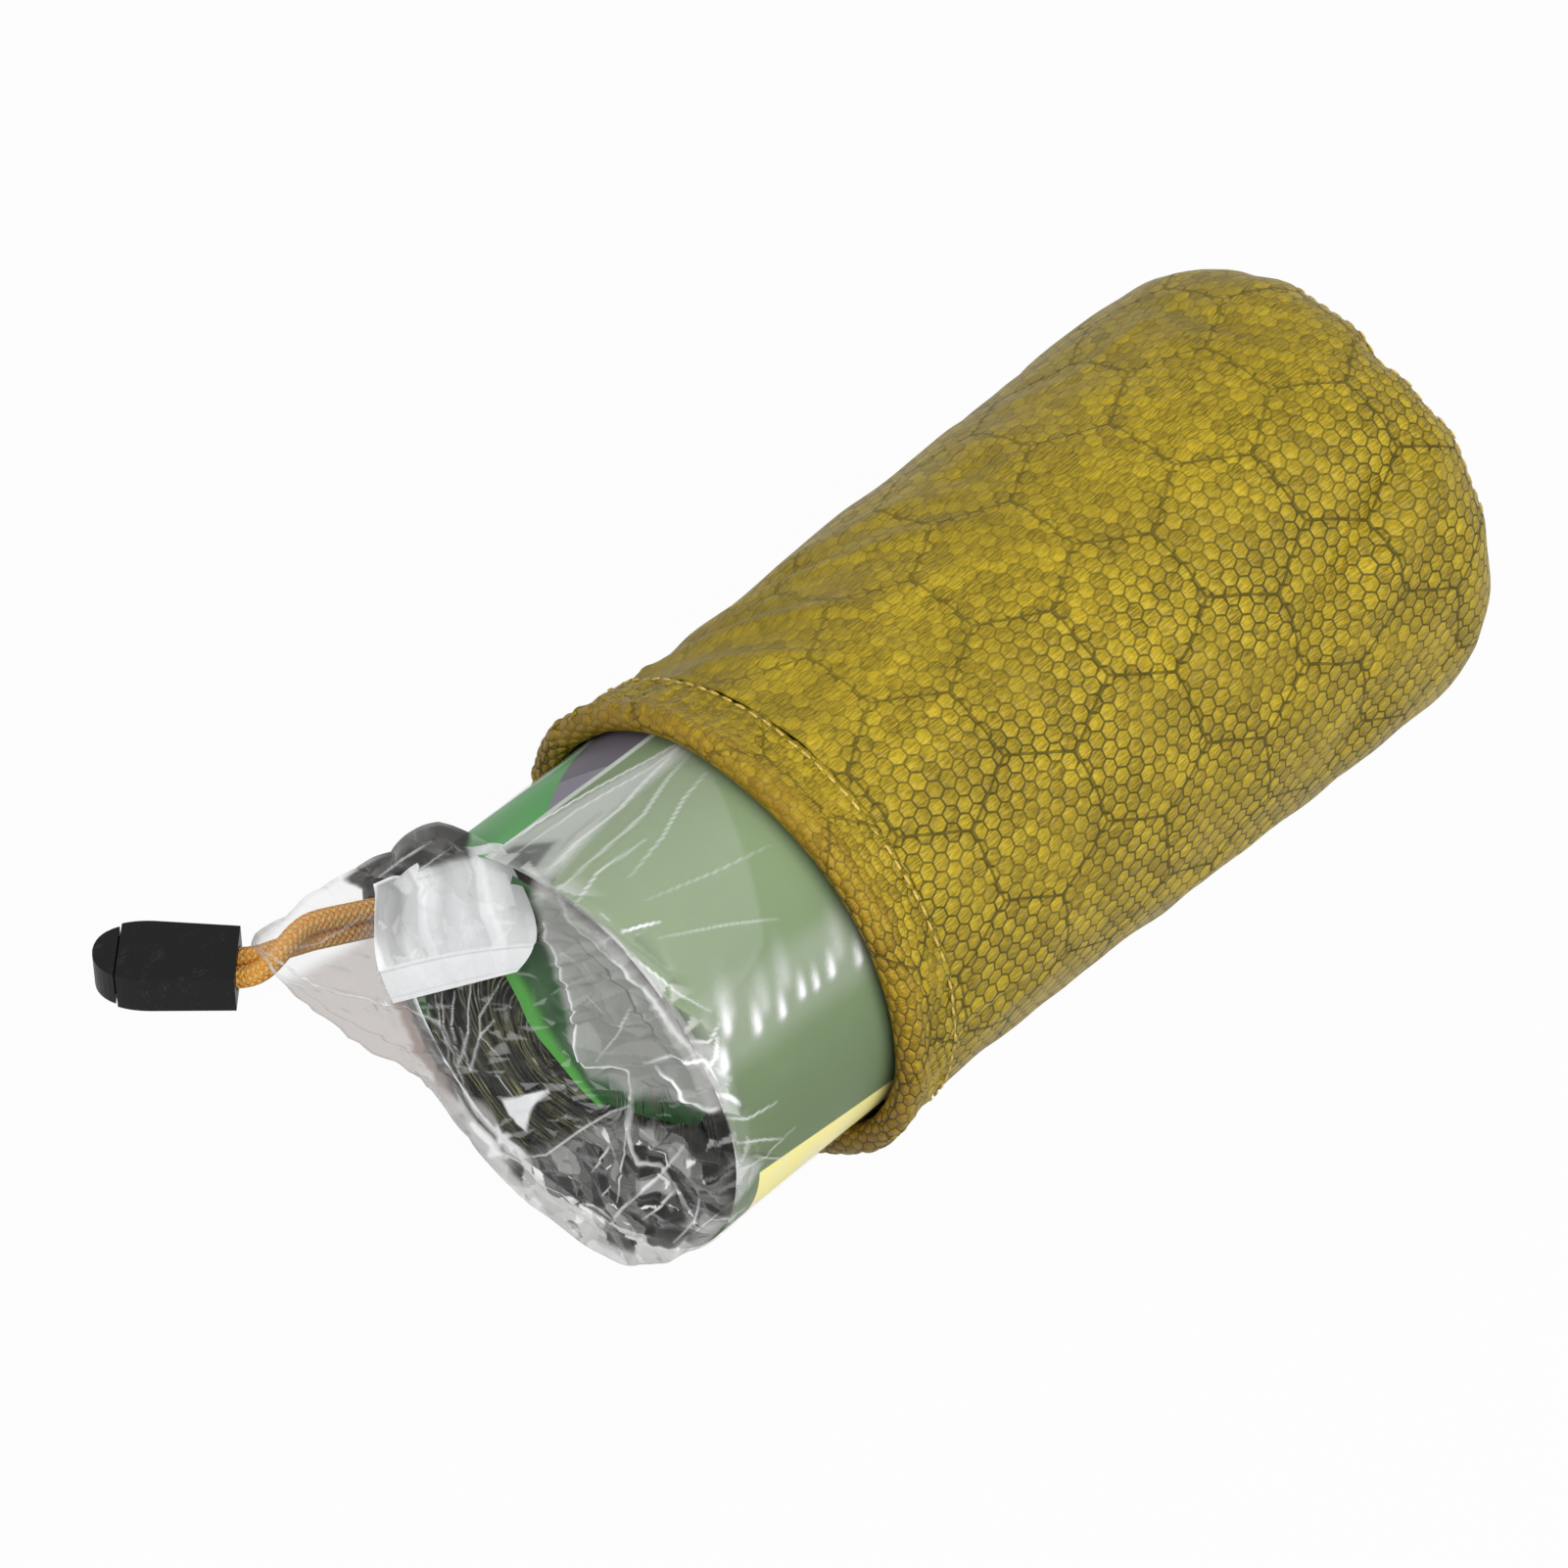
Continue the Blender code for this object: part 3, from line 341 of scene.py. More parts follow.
def grain_group():
    """Fine moulded grain with a few rubbed places: a height and the rubbing."""
    tree, start, end = new_group("Moulded Grain", "ShaderNodeTree", (
        ("Place", "INPUT", "NodeSocketVector", None),
        ("Scale", "INPUT", "NodeSocketFloat", 4500.0),
        ("Height", "OUTPUT", "NodeSocketFloat", None),
        ("Rubbed", "OUTPUT", "NodeSocketFloat", None),
    ))
    fine = noise(tree, start.outputs[0], start.outputs[1], 2.0, 0.6)
    tree.links.new(fine, end.inputs["Height"])
    patches = noise(tree, start.outputs[0], 260.0, 3.0, 0.6)
    scratch = noise(tree, stretched(tree, start.outputs[0], 900, 3500, 900), 1.0, 1.0)
    rubbed = times(tree, smooth_step(tree, patches, 0.5, 0.75),
                   smooth_step(tree, scratch, 0.45, 0.7))
    tree.links.new(rubbed, end.inputs["Rubbed"])
    return tree


GROUPS = {}


def group(name):
    """A shared shader group, built once."""
    makers = {"honeycomb": honeycomb_group, "crumple": crumple_group, "grain": grain_group}
    if name not in GROUPS:
        GROUPS[name] = makers[name]()
    return GROUPS[name]


# Materials

def ripstop_material(colors):
    """Gold nylon with small honeycomb cells, large hexagon lines and lengthwise yarns."""
    mat, tree, shader, _ = new_material("honeycomb_ripstop")
    place = uv_place(tree, "cloth")
    drift = stretched(tree, centred_noise(tree, place, 160.0, 1.0), 0.0007, 0.0007, 0)
    place = vec(tree, "ADD", place, drift)
    cells = use_group(tree, "honeycomb", Place=place, Pitch=colors.cell_pitch)
    large = use_group(tree, "honeycomb", Pitch=colors.cell_pitch * LARGE_CELL_PITCHES,
                      Place=vec(tree, "ADD", place, (0.0025, 0.0065, 0.0)))
    cell_line = smooth_step(tree, cells.outputs["Border"], 0.80, 0.94)
    # plain is a nearly unmarked patch by the mouth; the cells fade out towards the top
    along, around = put(tree, "ShaderNodeSeparateXYZ", (place,)).outputs[:2]
    plain = times(tree, between(tree, around, 0.0906, 0.1186, 0.010),
                  smooth_step(tree, along, -0.048, -0.020, 1.0, 0.0))
    plain = times(tree, plain, smooth_step(tree, noise(tree, place, 90.0, 2.0),
                                           0.30, 0.55, 0.3, 0.9))
    large_line = smooth_step(tree, large.outputs["Border"], 0.976, 0.988, 0.0, 0.75)
    beside = smooth_step(tree, large.outputs["Border"], 0.900, 0.955)
    large_line = calc(tree, "MAXIMUM", large_line, times(
        tree, beside, smooth_step(tree, cells.outputs["Border"], 0.80, 0.92)))
    upper = times(tree, smooth_step(tree, around, 0.074, 0.104),
                  smooth_step(tree, around, 0.131, 0.162, 0.62, 0.0))
    fading = times(tree, minus(tree, 1.0, upper), smooth_step(
        tree, noise(tree, place, 70.0, 2.0), 0.25, 0.6, 0.50, 1.0))
    large_line = times(tree, large_line, calc(tree, "MULTIPLY_ADD", upper, -0.6, 1.0))
    lines = calc(tree, "MAXIMUM", times(tree, cell_line, fading), large_line)
    lines = times(tree, lines, minus(tree, 1.0, plain))
    yarns = noise(tree, stretched(tree, place, 420, 3600, 1), 1.0, 3.0, 0.6)
    patches = noise(tree, place, 55.0, 2.0)
    # each cell's random shade stands for light on the cell's tilt, so the dark and light cloth
    # colours are partly painted light and shade here; the yarn streaks are the cloth's own tone
    shade = calc(tree, "MULTIPLY_ADD", cells.outputs["Shade"], 0.42,
                 smooth_step(tree, yarns, 0.34, 0.66, 0.0, 0.72))
    base = blend_color(tree, shade, colors.cloth_dark, colors.cloth_light)
    base = blend_color(tree, smooth_step(tree, patches, 0.35, 0.7, 0.0, 0.35), base,
                       colors.cloth_deep)
    base = blend_color(tree, times(tree, plain, 0.6), base, colors.cloth_deep)
    base = blend_color(tree, times(tree, attribute(tree, "rim"), 0.55), base, colors.rim)
    base = blend_color(tree, times(tree, lines, 0.90), base, colors.line)
    # painted shade: the hem's inner face by the mouth turns near black, for the shade between the
    # hem and the card
    base = blend_color(tree, times(tree, attribute(tree, "inside"), 0.85), base,
                       (0.022, 0.016, 0.004))
    dome = smooth_step(tree, cells.outputs["Border"], 0.15, 0.95, 1.0, 0.0)
    height = minus(tree, times(tree, dome, fading), times(tree, large_line, 0.7))
    height = calc(tree, "MULTIPLY_ADD", yarns, 0.35, height)
    feed(tree, shader, Base_Color=base, Specular_IOR_Level=0.20,
         Roughness=smooth_step(tree, lines, 0.0, 1.0, 0.42, 0.66),
         Normal=bump(tree, height, 0.00040))
    return mat


def film_material(name, haze_color, gloss_share, facets, bump_height):
    """Thin clear film: see-through and glossy, pale where it is folded over, with painted
    highlights and painted shade from its tone.
    """
    mat, tree, shader, output = new_material(name)
    place = object_place(tree)
    wide = use_group(tree, "crumple", Place=place, Facets=facets)
    fine = use_group(tree, "crumple", Place=place, Facets=facets * 2.7)
    height = calc(tree, "MULTIPLY_ADD", fine.outputs["Height"], 0.3, wide.outputs["Height"])
    soft = noise(tree, place, 60.0, 2.0)
    normal = bump(tree, calc(tree, "MULTIPLY_ADD", soft, 1.2, height), bump_height)
    tone = attribute(tree, "tone")
    veins = times(tree, wide.outputs["Crease"],
                  smooth_step(tree, noise(tree, place, 120.0, 1.0), 0.52, 0.7))
    cover = calc(tree, "MULTIPLY_ADD", veins, 0.16 * gloss_share, attribute(tree, "cover"))
    gloss = put(tree, "ShaderNodeFresnel", {"IOR": 1.5, "Normal": normal}).outputs[0]
    behind = put(tree, "ShaderNodeNewGeometry").outputs["Backfacing"]
    shine = calc(tree, "MULTIPLY_ADD", behind, -0.92 * gloss_share, gloss_share)
    factor = calc(tree, "ADD", cover, times(tree, gloss, shine), clamp=True)
    # tone near 0 gives painted shade and dark reflections, the middle the film's own haze, and
    # near 1 painted highlights
    color = blend_color(tree, smooth_step(tree, tone, 0.05, 0.75), (0.010, 0.012, 0.009),
                        haze_color)
    color = blend_color(tree, attribute(tree, "warm"), color, (0.37, 0.285, 0.25))
    color = blend_color(tree, smooth_step(tree, tone, 0.75, 1.0), color, (0.96, 0.97, 0.98))
    feed(tree, shader, Base_Color=color, Roughness=0.09, Normal=normal,
         Specular_IOR_Level=0.32)
    clear_side = put(tree, "ShaderNodeBsdfTransparent", {0: (0.985, 0.99, 0.985)})
    mixed = put(tree, "ShaderNodeMixShader", (factor, clear_side.outputs[0],
                                              shader.outputs[0]))
    tree.links.new(mixed.outputs[0], output.inputs[0])
    return mat


def foil_material(colors):
    """Crumpled metallised film in painted reflections, near black and olive, with painted
    highlight streaks that follow its turns.
    """
    mat, tree, shader, _ = new_material("metallised_film")
    place = object_place(tree)
    folds = use_group(tree, "crumple", Place=place, Facets=170.0)
    centred = vec(tree, "SUBTRACT", place, (0.0, 0.0, AXIS_Z))
    x, y, z = put(tree, "ShaderNodeSeparateXYZ", (centred,)).outputs
    flat = stretched(tree, centred, 0.0, 1.0, 1.0)
    radius = calc(tree, "SQRT", dot(tree, flat, flat))
    bent = calc(tree, "MULTIPLY_ADD", noise(tree, place, 55.0, 1.0), 0.009, radius)
    polar = put(tree, "ShaderNodeCombineXYZ", (
        times(tree, bent, 330.0), times(tree, calc(tree, "ARCTAN2", y, z), 0.9),
        times(tree, x, 40.0))).outputs[0]
    bands = noise(tree, polar, 1.0, 2.0, 0.45)
    fine = noise(tree, stretched(tree, polar, 3.2, 2.2, 2.0), 1.0, 1.0)
    # the dark and gold bands are painted dark and bright reflections that follow the turns
    base = blend_color(tree, smooth_step(tree, bands, 0.40, 0.54), colors.foil_dark_reflection,
                       colors.foil_gold)
    base = blend_color(tree, smooth_step(tree, fine, 0.50, 0.62, 0.0, 0.55), base,
                       (0.016, 0.034, 0.014))
    # glint: painted grey highlights where the bright bands and fine streaks meet
    glint = times(tree, smooth_step(tree, bands, 0.54, 0.62),
                  smooth_step(tree, fine, 0.52, 0.58))
    base = blend_color(tree, glint, base, (0.30, 0.32, 0.33))
    feed(tree, shader, Base_Color=base, Metallic=0.7,
         Roughness=smooth_step(tree, fine, 0.3, 0.7, 0.18, 0.34),
         Normal=bump(tree, folds.outputs["Height"], 0.0010))
    return mat


def inner_material(colors):
    """The bag's glossy green inside, with a painted highlight in lighter green along its folded
    rim.
    """
    mat, tree, shader, _ = new_material("inner_film")
    place = object_place(tree)
    soft = noise(tree, stretched(tree, place, 60, 160, 60), 1.0, 2.0)
    base = blend_color(tree, smooth_step(tree, soft, 0.35, 0.7, 0.0, 0.6),
                       colors.print_green, (0.003, 0.050, 0.006))
    # painted highlight: lighter green along the folded rim
    base = blend_color(tree, smooth_step(tree, attribute(tree, "rim"), 0.1, 0.8), base,
                       (0.09, 0.38, 0.06))
    feed(tree, shader, Base_Color=base, Roughness=0.24, Normal=bump(tree, soft, 0.0006),
         Specular_IOR_Level=0.08)
    return mat


def card_material(colors):
    """Printed card: sage ground, darker towards its lower side as painted shade, a picture panel
    of plain hills and discs, a yellow band.
    """
    mat, tree, shader, _ = new_material("printed_card")
    place = uv_place(tree, "card")
    around, along = put(tree, "ShaderNodeSeparateXYZ", (place,)).outputs[:2]
    speckle = noise(tree, place, 2600.0, 1.0)
    cloudy = noise(tree, place, 45.0, 2.0)
    turned = calc(tree, "MULTIPLY_ADD", cloudy, 0.022, around)
    # painted shade: the card's ground turns darker towards its lower side
    base = blend_color(tree, smooth_step(tree, turned, 0.106, 0.156), colors.card_light,
                       colors.card_shaded)

    panel_end = 0.0752
    glow = smooth_step(tree, calc(tree, "MULTIPLY_ADD", along, 1.0, around), 0.055, 0.115)
    panel = blend_color(tree, glow, colors.panel_light, colors.panel_green)
    slope = plus(tree, times(tree, along, 0.9), 0.052)
    hill = smooth_step(tree, minus(tree, around, slope), -0.0002, 0.0002)
    ridge = plus(tree, times(tree, along, -0.75), 0.0845)
    other = smooth_step(tree, minus(tree, around, ridge), -0.0002, 0.0002)
    panel = blend_color(tree, times(tree, hill, other), panel, colors.panel_violet)
    far = times(tree, minus(tree, 1.0, hill), other)
    panel = blend_color(tree, far, panel, colors.panel_shade)
    spot = vec(tree, "SUBTRACT", place, (0.0610, 0.0120, 0.0))
    round_spot = smooth_step(tree, dot(tree, spot, spot), 0.0000085, 0.0000095, 1.0, 0.0)
    panel = blend_color(tree, times(tree, round_spot, 0.8), panel, colors.panel_light)
    inside = smooth_step(tree, around, panel_end - 0.0002, panel_end + 0.0002, 1.0, 0.0)
    base = blend_color(tree, inside, base, panel)
    border = between(tree, around, panel_end, panel_end + 0.0011, 0.0002)
    base = blend_color(tree, times(tree, border, 0.75), base, (0.75, 0.78, 0.74))

    edge = calc(tree, "MULTIPLY_ADD", along, 0.158, 0.1490)
    depth = minus(tree, around, edge)
    cut = calc(tree, "MULTIPLY_ADD", depth, -0.06, along)
    band = times(tree, smooth_step(tree, depth, -0.0002, 0.0002),
                 smooth_step(tree, cut, 0.0046, 0.0049))
    base = blend_color(tree, band, base, colors.band_yellow)
    blocks = put(tree, "ShaderNodeTexBrick", {
        "Vector": place, "Scale": 130.0, "Mortar Size": 0.0, "Color1": (0, 0, 0),
        "Color2": (1, 1, 1), "Brick Width": 0.9, "Row Height": 0.5, "Bias": -0.55}).outputs[0]
    blocks = times(tree, blocks, smooth_step(tree, depth, 0.0016, 0.0020))
    base = blend_color(tree, times(tree, blocks, band), base, (0.86, 0.78, 0.84))
    base = blend_color(tree, smooth_step(tree, speckle, 0.2, 0.8, 0.0, 0.07), base,
                       (0.1, 0.12, 0.08))
    height = calc(tree, "MULTIPLY_ADD", cloudy, 3.0, speckle)
    feed(tree, shader, Base_Color=base, Normal=bump(tree, height, 0.00002),
         Roughness=smooth_step(tree, cloudy, 0.3, 0.7, 0.3, 0.42), Specular_IOR_Level=0.06)
    return mat


def braid_material(colors):
    """Braided cord: two families of strands that cross over each other."""
    mat, tree, shader, _ = new_material("paracord")
    place = uv_place(tree, "cord")
    along, around = put(tree, "ShaderNodeSeparateXYZ", (place,)).outputs[:2]
    turns = times(tree, around, BRAID_STRANDS)
    run = times(tree, along, BRAID_STRANDS / BRAID_LAY)
    first = plus(tree, turns, run)
    second = minus(tree, turns, run)
    first_ridge, second_ridge = (calc(tree, "ABSOLUTE", calc(tree, "SINE", times(
        tree, family, math.pi))) for family in (first, second))
    cell = plus(tree, calc(tree, "FLOOR", first), calc(tree, "FLOOR", second))
    over = calc(tree, "GREATER_THAN", calc(tree, "MODULO", plus(tree, cell, 1000.0), 2.0), 0.5)
    height = put(tree, "ShaderNodeMix", (over, None, second_ridge, first_ridge))
    ridge = times(tree, first_ridge, second_ridge)
    fibres = noise(tree, stretched(tree, place, 9000, 60, 1), 1.0, 2.0)
    base = blend_color(tree, over, colors.cord_orange, colors.cord_yellow)
    # painted shade: darker where the strands' ridges fall away between them
    base = blend_color(tree, smooth_step(tree, ridge, 0.0, 0.30, 0.28, 0.0), base,
                       colors.cord_gap_shade)
    base = blend_color(tree, smooth_step(tree, fibres, 0.4, 0.7, 0.0, 0.25), base,
                       (1.0, 0.62, 0.22))
    full = calc(tree, "MULTIPLY_ADD", fibres, 0.2,
                plus(tree, ridge, times(tree, height.outputs[0], 0.5)))
    feed(tree, shader, Base_Color=base, Roughness=0.68, Normal=bump(tree, full, 0.00022),
         Specular_IOR_Level=0.25)
    return mat


def knot_material(colors):
    """The knot's drawn-up strands, without a braid to follow."""
    mat, tree, shader, _ = new_material("paracord_knot")
    place = object_place(tree)
    strands = noise(tree, place, 1400.0, 2.0, 0.5, 1.5)
    # the darker places among the knot's strands are painted shade between them
    base = blend_color(tree, smooth_step(tree, strands, 0.35, 0.65), colors.cord_gap_shade,
                       colors.cord_orange)
    feed(tree, shader, Base_Color=base, Roughness=0.7, Normal=bump(tree, strands, 0.0003))
    return mat


def thread_material(colors):
    """Twisted sewing thread."""
    mat, tree, shader, _ = new_material("sewing_thread")
    place = object_place(tree)
    strand = noise(tree, place, 2500.0, 2.0)
    # painted shade: darker between the thread's plies
    base = blend_color(tree, smooth_step(tree, strand, 0.3, 0.7), colors.thread_ply_shade,
                       colors.thread)
    feed(tree, shader, Base_Color=base, Roughness=0.6, Normal=bump(tree, strand, 0.00008))
    return mat


def black_material(colors):
    """Black moulded plastic with a fine grain and a few rubbed places."""
    mat, tree, shader, _ = new_material("black_plastic")
    grain = use_group(tree, "grain", Place=object_place(tree))
    rubbed = grain.outputs["Rubbed"]
    base = blend_color(tree, times(tree, rubbed, 0.5), colors.plastic, (0.05, 0.05, 0.053))
    feed(tree, shader, Base_Color=base,
         Roughness=smooth_step(tree, rubbed, 0.0, 1.0, 0.40, 0.28),
         Normal=bump(tree, grain.outputs["Height"], 0.00003), Specular_IOR_Level=0.15)
    return mat


def steel_material():
    """Drawn spring wire."""
    mat, tree, shader, _ = new_material("spring_steel")
    lines = noise(tree, stretched(tree, object_place(tree), 900, 900, 5000), 1.0, 2.0)
    base = blend_color(tree, lines, (0.42, 0.42, 0.43), (0.62, 0.62, 0.63))
    feed(tree, shader, Base_Color=base, Metallic=1.0,
         Roughness=smooth_step(tree, lines, 0.2, 0.8, 0.2, 0.4))
    return mat


MATERIALS = {}


def material(name):
    """One of the object's materials, built once."""
    colors = bpy.context.scene.sleeping_bag_colors
    makers = {
        "ripstop": lambda: ripstop_material(colors),
        "foil": lambda: foil_material(colors),
        "card": lambda: card_material(colors),
        "inner": lambda: inner_material(colors),
        "film": lambda: film_material("clear_film", (0.62, 0.61, 0.60), 0.30, 110.0, 0.0009),
        "tube_film": lambda: film_material("clear_film_tube", (0.66, 0.67, 0.66), 0.09, 60.0,
                                           0.0002),
        "flap": lambda: film_material("frosted_film", (0.70, 0.71, 0.72), 0.6, 150.0, 0.0006),
        "cord": lambda: braid_material(colors),
        "cord_plain": lambda: knot_material(colors),
        "thread": lambda: thread_material(colors),
        "black": lambda: black_material(colors),
        "steel": steel_material,
    }
    if name not in MATERIALS:
        MATERIALS[name] = makers[name]()
    return MATERIALS[name]


# Mesh helpers

def waves(seed, count, longest, shortest, rim):
    """Random waves over (along, angle) that close round the sack; rim is its circumference."""
    rng = np.random.default_rng(seed)
    table = []
    for _ in range(count):
        length = shortest * (longest / shortest) ** rng.random()
        heading = rng.random() * math.tau
        turns = round(rim / length * math.sin(heading))
        table.append((math.tau / length * math.cos(heading), turns, rng.random() * math.tau,
                      length / longest))
    return table


def ripple(table, along, angle):
    """The sum of the waves at places, from about -1 to 1."""
    total = np.zeros(np.broadcast(along, angle).shape)
    weight = 0.0
    for rate, turns, phase, size in table:
        total += size * np.cos(rate * along + turns * angle + phase)
        weight += size * size
    return total / math.sqrt(weight)


def ramp(value, low, high):
    """Smooth step from 0 to 1."""
    share = np.clip((value - low) / (high - low), 0.0, 1.0)
    return share * share * (3 - 2 * share)


def line_distance(px, py, points):
    """Distance from places to a broken line, and the share along it of the nearest point."""
    best = np.full(px.shape, 9.0)
    share = np.zeros(px.shape)
    total = len(points) - 1
    for i, ((ax, ay), (bx, by)) in enumerate(zip(points[:-1], points[1:])):
        dx, dy = bx - ax, by - ay
        t = np.clip(((px - ax) * dx + (py - ay) * dy) / (dx * dx + dy * dy + 1e-12), 0, 1)
        gap = np.hypot(px - ax - t * dx, py - ay - t * dy)
        share = np.where(gap < best, (i + t) / total, share)
        best = np.minimum(best, gap)
    return best, share


def inside_shape(px, py, points, soft):
    """1 inside a closed shape, 0 outside it, with a soft border."""
    ring = list(points) + [points[0]]
    gap, _ = line_distance(px, py, ring)
    crossings = np.zeros(px.shape, dtype=bool)
    for (ax, ay), (bx, by) in zip(ring[:-1], ring[1:]):
        if ay == by:
            continue
        level = (py >= min(ay, by)) & (py < max(ay, by))
        crossings ^= level & (px < ax + (py - ay) * (bx - ax) / (by - ay))
    return ramp(np.where(crossings, gap, -gap), -soft, soft)


def crumpled(px, py, seed, spacing, low, high):
    """Creased facets over a region: a height from -1 to 1, and a random value a facet."""
    rng = np.random.default_rng(seed)
    count = max(12, int((high[0] - low[0]) * (high[1] - low[1]) / spacing ** 2))
    spots = rng.random((count, 2)) * (np.array(high) - low) + low
    corners = [(low[0], low[1]), (high[0], low[1]), (high[0], high[1]), (low[0], high[1])]
    seeds = [Vector(p) for p in spots] + [Vector(p) for p in corners]
    verts, _, faces, *_ = delaunay_2d_cdt(seeds, [], [], 0, 1e-7)
    levels = rng.random(len(verts)) * 2 - 1
    height = np.zeros(px.shape)
    value = np.zeros(px.shape)
    for face in faces:
        (ax, ay), (bx, by), (cx, cy) = (verts[i] for i in face)
        area = (bx - ax) * (cy - ay) - (cx - ax) * (by - ay)
        shade = rng.random()
        if abs(area) < 1e-14:
            continue
        box = ((px >= min(ax, bx, cx)) & (px <= max(ax, bx, cx))
               & (py >= min(ay, by, cy)) & (py <= max(ay, by, cy)))
        if not box.any():
            continue
        qx, qy = px[box], py[box]
        second = ((qx - ax) * (cy - ay) - (cx - ax) * (qy - ay)) / area
        third = ((bx - ax) * (qy - ay) - (qx - ax) * (by - ay)) / area
        first = 1 - second - third
        within = (first >= -1e-9) & (second >= -1e-9) & (third >= -1e-9)
        level = first * levels[face[0]] + second * levels[face[1]] + third * levels[face[2]]
        part = height[box]
        part[within] = level[within]
        height[box] = part
        part = value[box]
        part[within] = shade
        value[box] = part
    return height, value


class FilmLook:
    """How far the film is covered, and how dark or pale it is, over two coordinates; its darkest
    and palest marks are painted shade and painted highlights.
    """

    def __init__(self, first, second, cover, tone):
        self.first, self.second = first, second
        self.cover, self.tone = cover, tone

    def lay(self, mask, strength, shade):
        """Lay one more detail over what is there."""
        share = mask * strength
        total = 1 - (1 - self.cover) * (1 - share)
        mixed = (self.cover * (1 - share) * self.tone + share * shade) / np.maximum(total, 1e-6)
        self.tone = np.where(total > 1e-6, mixed, self.tone)
        self.cover = total

    def fill(self, shapes, places):
        """Lay closed shapes over it."""
        for strength, shade, soft, *corners in shapes:
            self.lay(inside_shape(self.first, self.second, places(corners), soft * MM),
                     strength, shade)

    def draw(self, lines, places, thin, reach, rise_share):
        """Lay creases over it, pale ones as painted highlights and dark ones as painted shade, and
        give the height that they lift the film by.
        """
        lift = np.zeros(self.first.shape)
        for width, strength, shade, rise, *points in lines:
            gap, part = line_distance(self.first, self.second, places(points))
            taper = np.sqrt(np.clip(np.sin(math.pi * np.clip(part, 0.06, 0.94)), 0, 1))
            lift += rise * MM * taper * np.exp(-gap / (reach * MM)) * rise_share
            self.lay(taper * np.exp(-(gap / (width * thin * MM)) ** 4), strength, shade)
        return lift


def front_places(points):
    """Places across and up, from millimetres."""
    return [(a * MM, b * MM) for a, b in points]


def tube_places(points):
    """Places along and round the film tube, from millimetres and degrees."""
    return [(a * MM, math.radians(b) * FILM_OUTER) for a, b in points]


def around_axis(along, angle, radius, pressed):
    """Places round the sack's axis, pressed flat underneath; angle is 0 straight down."""
    y = radius * np.sin(angle)
    z = np.maximum(-radius * np.cos(angle), -(radius - pressed))
    return np.stack([along + 0 * y, y, AXIS_Z + z], -1)


def grid_mesh(name, points, uvs=None, uv_name="cloth", closed=False, masks=None):
    """A mesh over a grid of points; its columns may close, its UVs have one more column."""
    rows, columns = points.shape[:2]
    mesh = bpy.data.meshes.new(name)
    across = columns if closed else columns - 1
    faces = []
    corners = []
    for i in range(rows - 1):
        for j in range(across):
            after = (j + 1) % columns
            faces.append((i * columns + j, i * columns + after,
                          (i + 1) * columns + after, (i + 1) * columns + j))
            corners += ((i, j), (i, j + 1), (i + 1, j + 1), (i + 1, j))
    mesh.from_pydata(points.reshape(-1, 3).tolist(), [], faces)
    if uvs is not None:
        layer = mesh.uv_layers.new(name=uv_name)
        corners = np.array(corners)
        layer.data.foreach_set("uv", uvs[corners[:, 0], corners[:, 1]].ravel())
    for label, values in (masks or {}).items():
        data = mesh.attributes.new(label, "FLOAT", "POINT")
        data.data.foreach_set("value", values.astype(np.float32).ravel())
    mesh.shade_smooth()
    return mesh


def new_object(name, mesh, mat):
    """An object in the scene with its material."""
    obj = bpy.data.objects.new(name, mesh)
    bpy.context.scene.collection.objects.link(obj)
    mesh.materials.clear()
    mesh.materials.append(mat)
    return obj


def apply_modifiers(obj):
    """The evaluated mesh takes the object's own place and its modifiers go."""
    bpy.context.view_layer.update()
    graph = bpy.context.evaluated_depsgraph_get()
    mesh = bpy.data.meshes.new_from_object(obj.evaluated_get(graph), depsgraph=graph)
    mesh.name = obj.name
    obj.modifiers.clear()
    obj.data = mesh
    return obj


def open_mesh(mesh):
    """The mesh opened for editing."""
    work = bmesh.new()
    work.from_mesh(mesh)
    work.verts.ensure_lookup_table()
    return work


def close_mesh(work, mesh, outwards=True):
    """The edited mesh put back, with its faces turned outwards or as they are."""
    if outwards:
        bmesh.ops.recalc_face_normals(work, faces=work.faces)
    work.to_mesh(mesh)
    work.free()


def close_end(work, ring, place, flip=False):
    """Close a ring of vertices by smooth triangles to a new one in its middle."""
    pole = work.verts.new(place)
    for first, second in zip(ring, ring[1:] + ring[:1]):
        pair = (second, first) if flip else (first, second)
        work.faces.new((*pair, pole)).smooth = True
    return pole


def thicken(obj, thickness, offset):
    """Give a sheet its thickness, as a plain mesh."""
    wall = obj.modifiers.new("thickness", "SOLIDIFY")
    wall.thickness = thickness
    wall.offset = offset
    apply_modifiers(obj)


def dress(obj, body, slot, *nodes):
    """The piece stands for CAD nodes and rides on a body; slot is not used."""
    if nodes:
        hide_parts(*nodes)
    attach(obj, body)


def paint_node(name, mat):
    """A CAD node keeps its shape and gets a finish."""
    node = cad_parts[name]
    if not node.material_slots:
        node.data.materials.append(mat)
    for slot in node.material_slots:
        slot.material = mat


# The sack's cloth

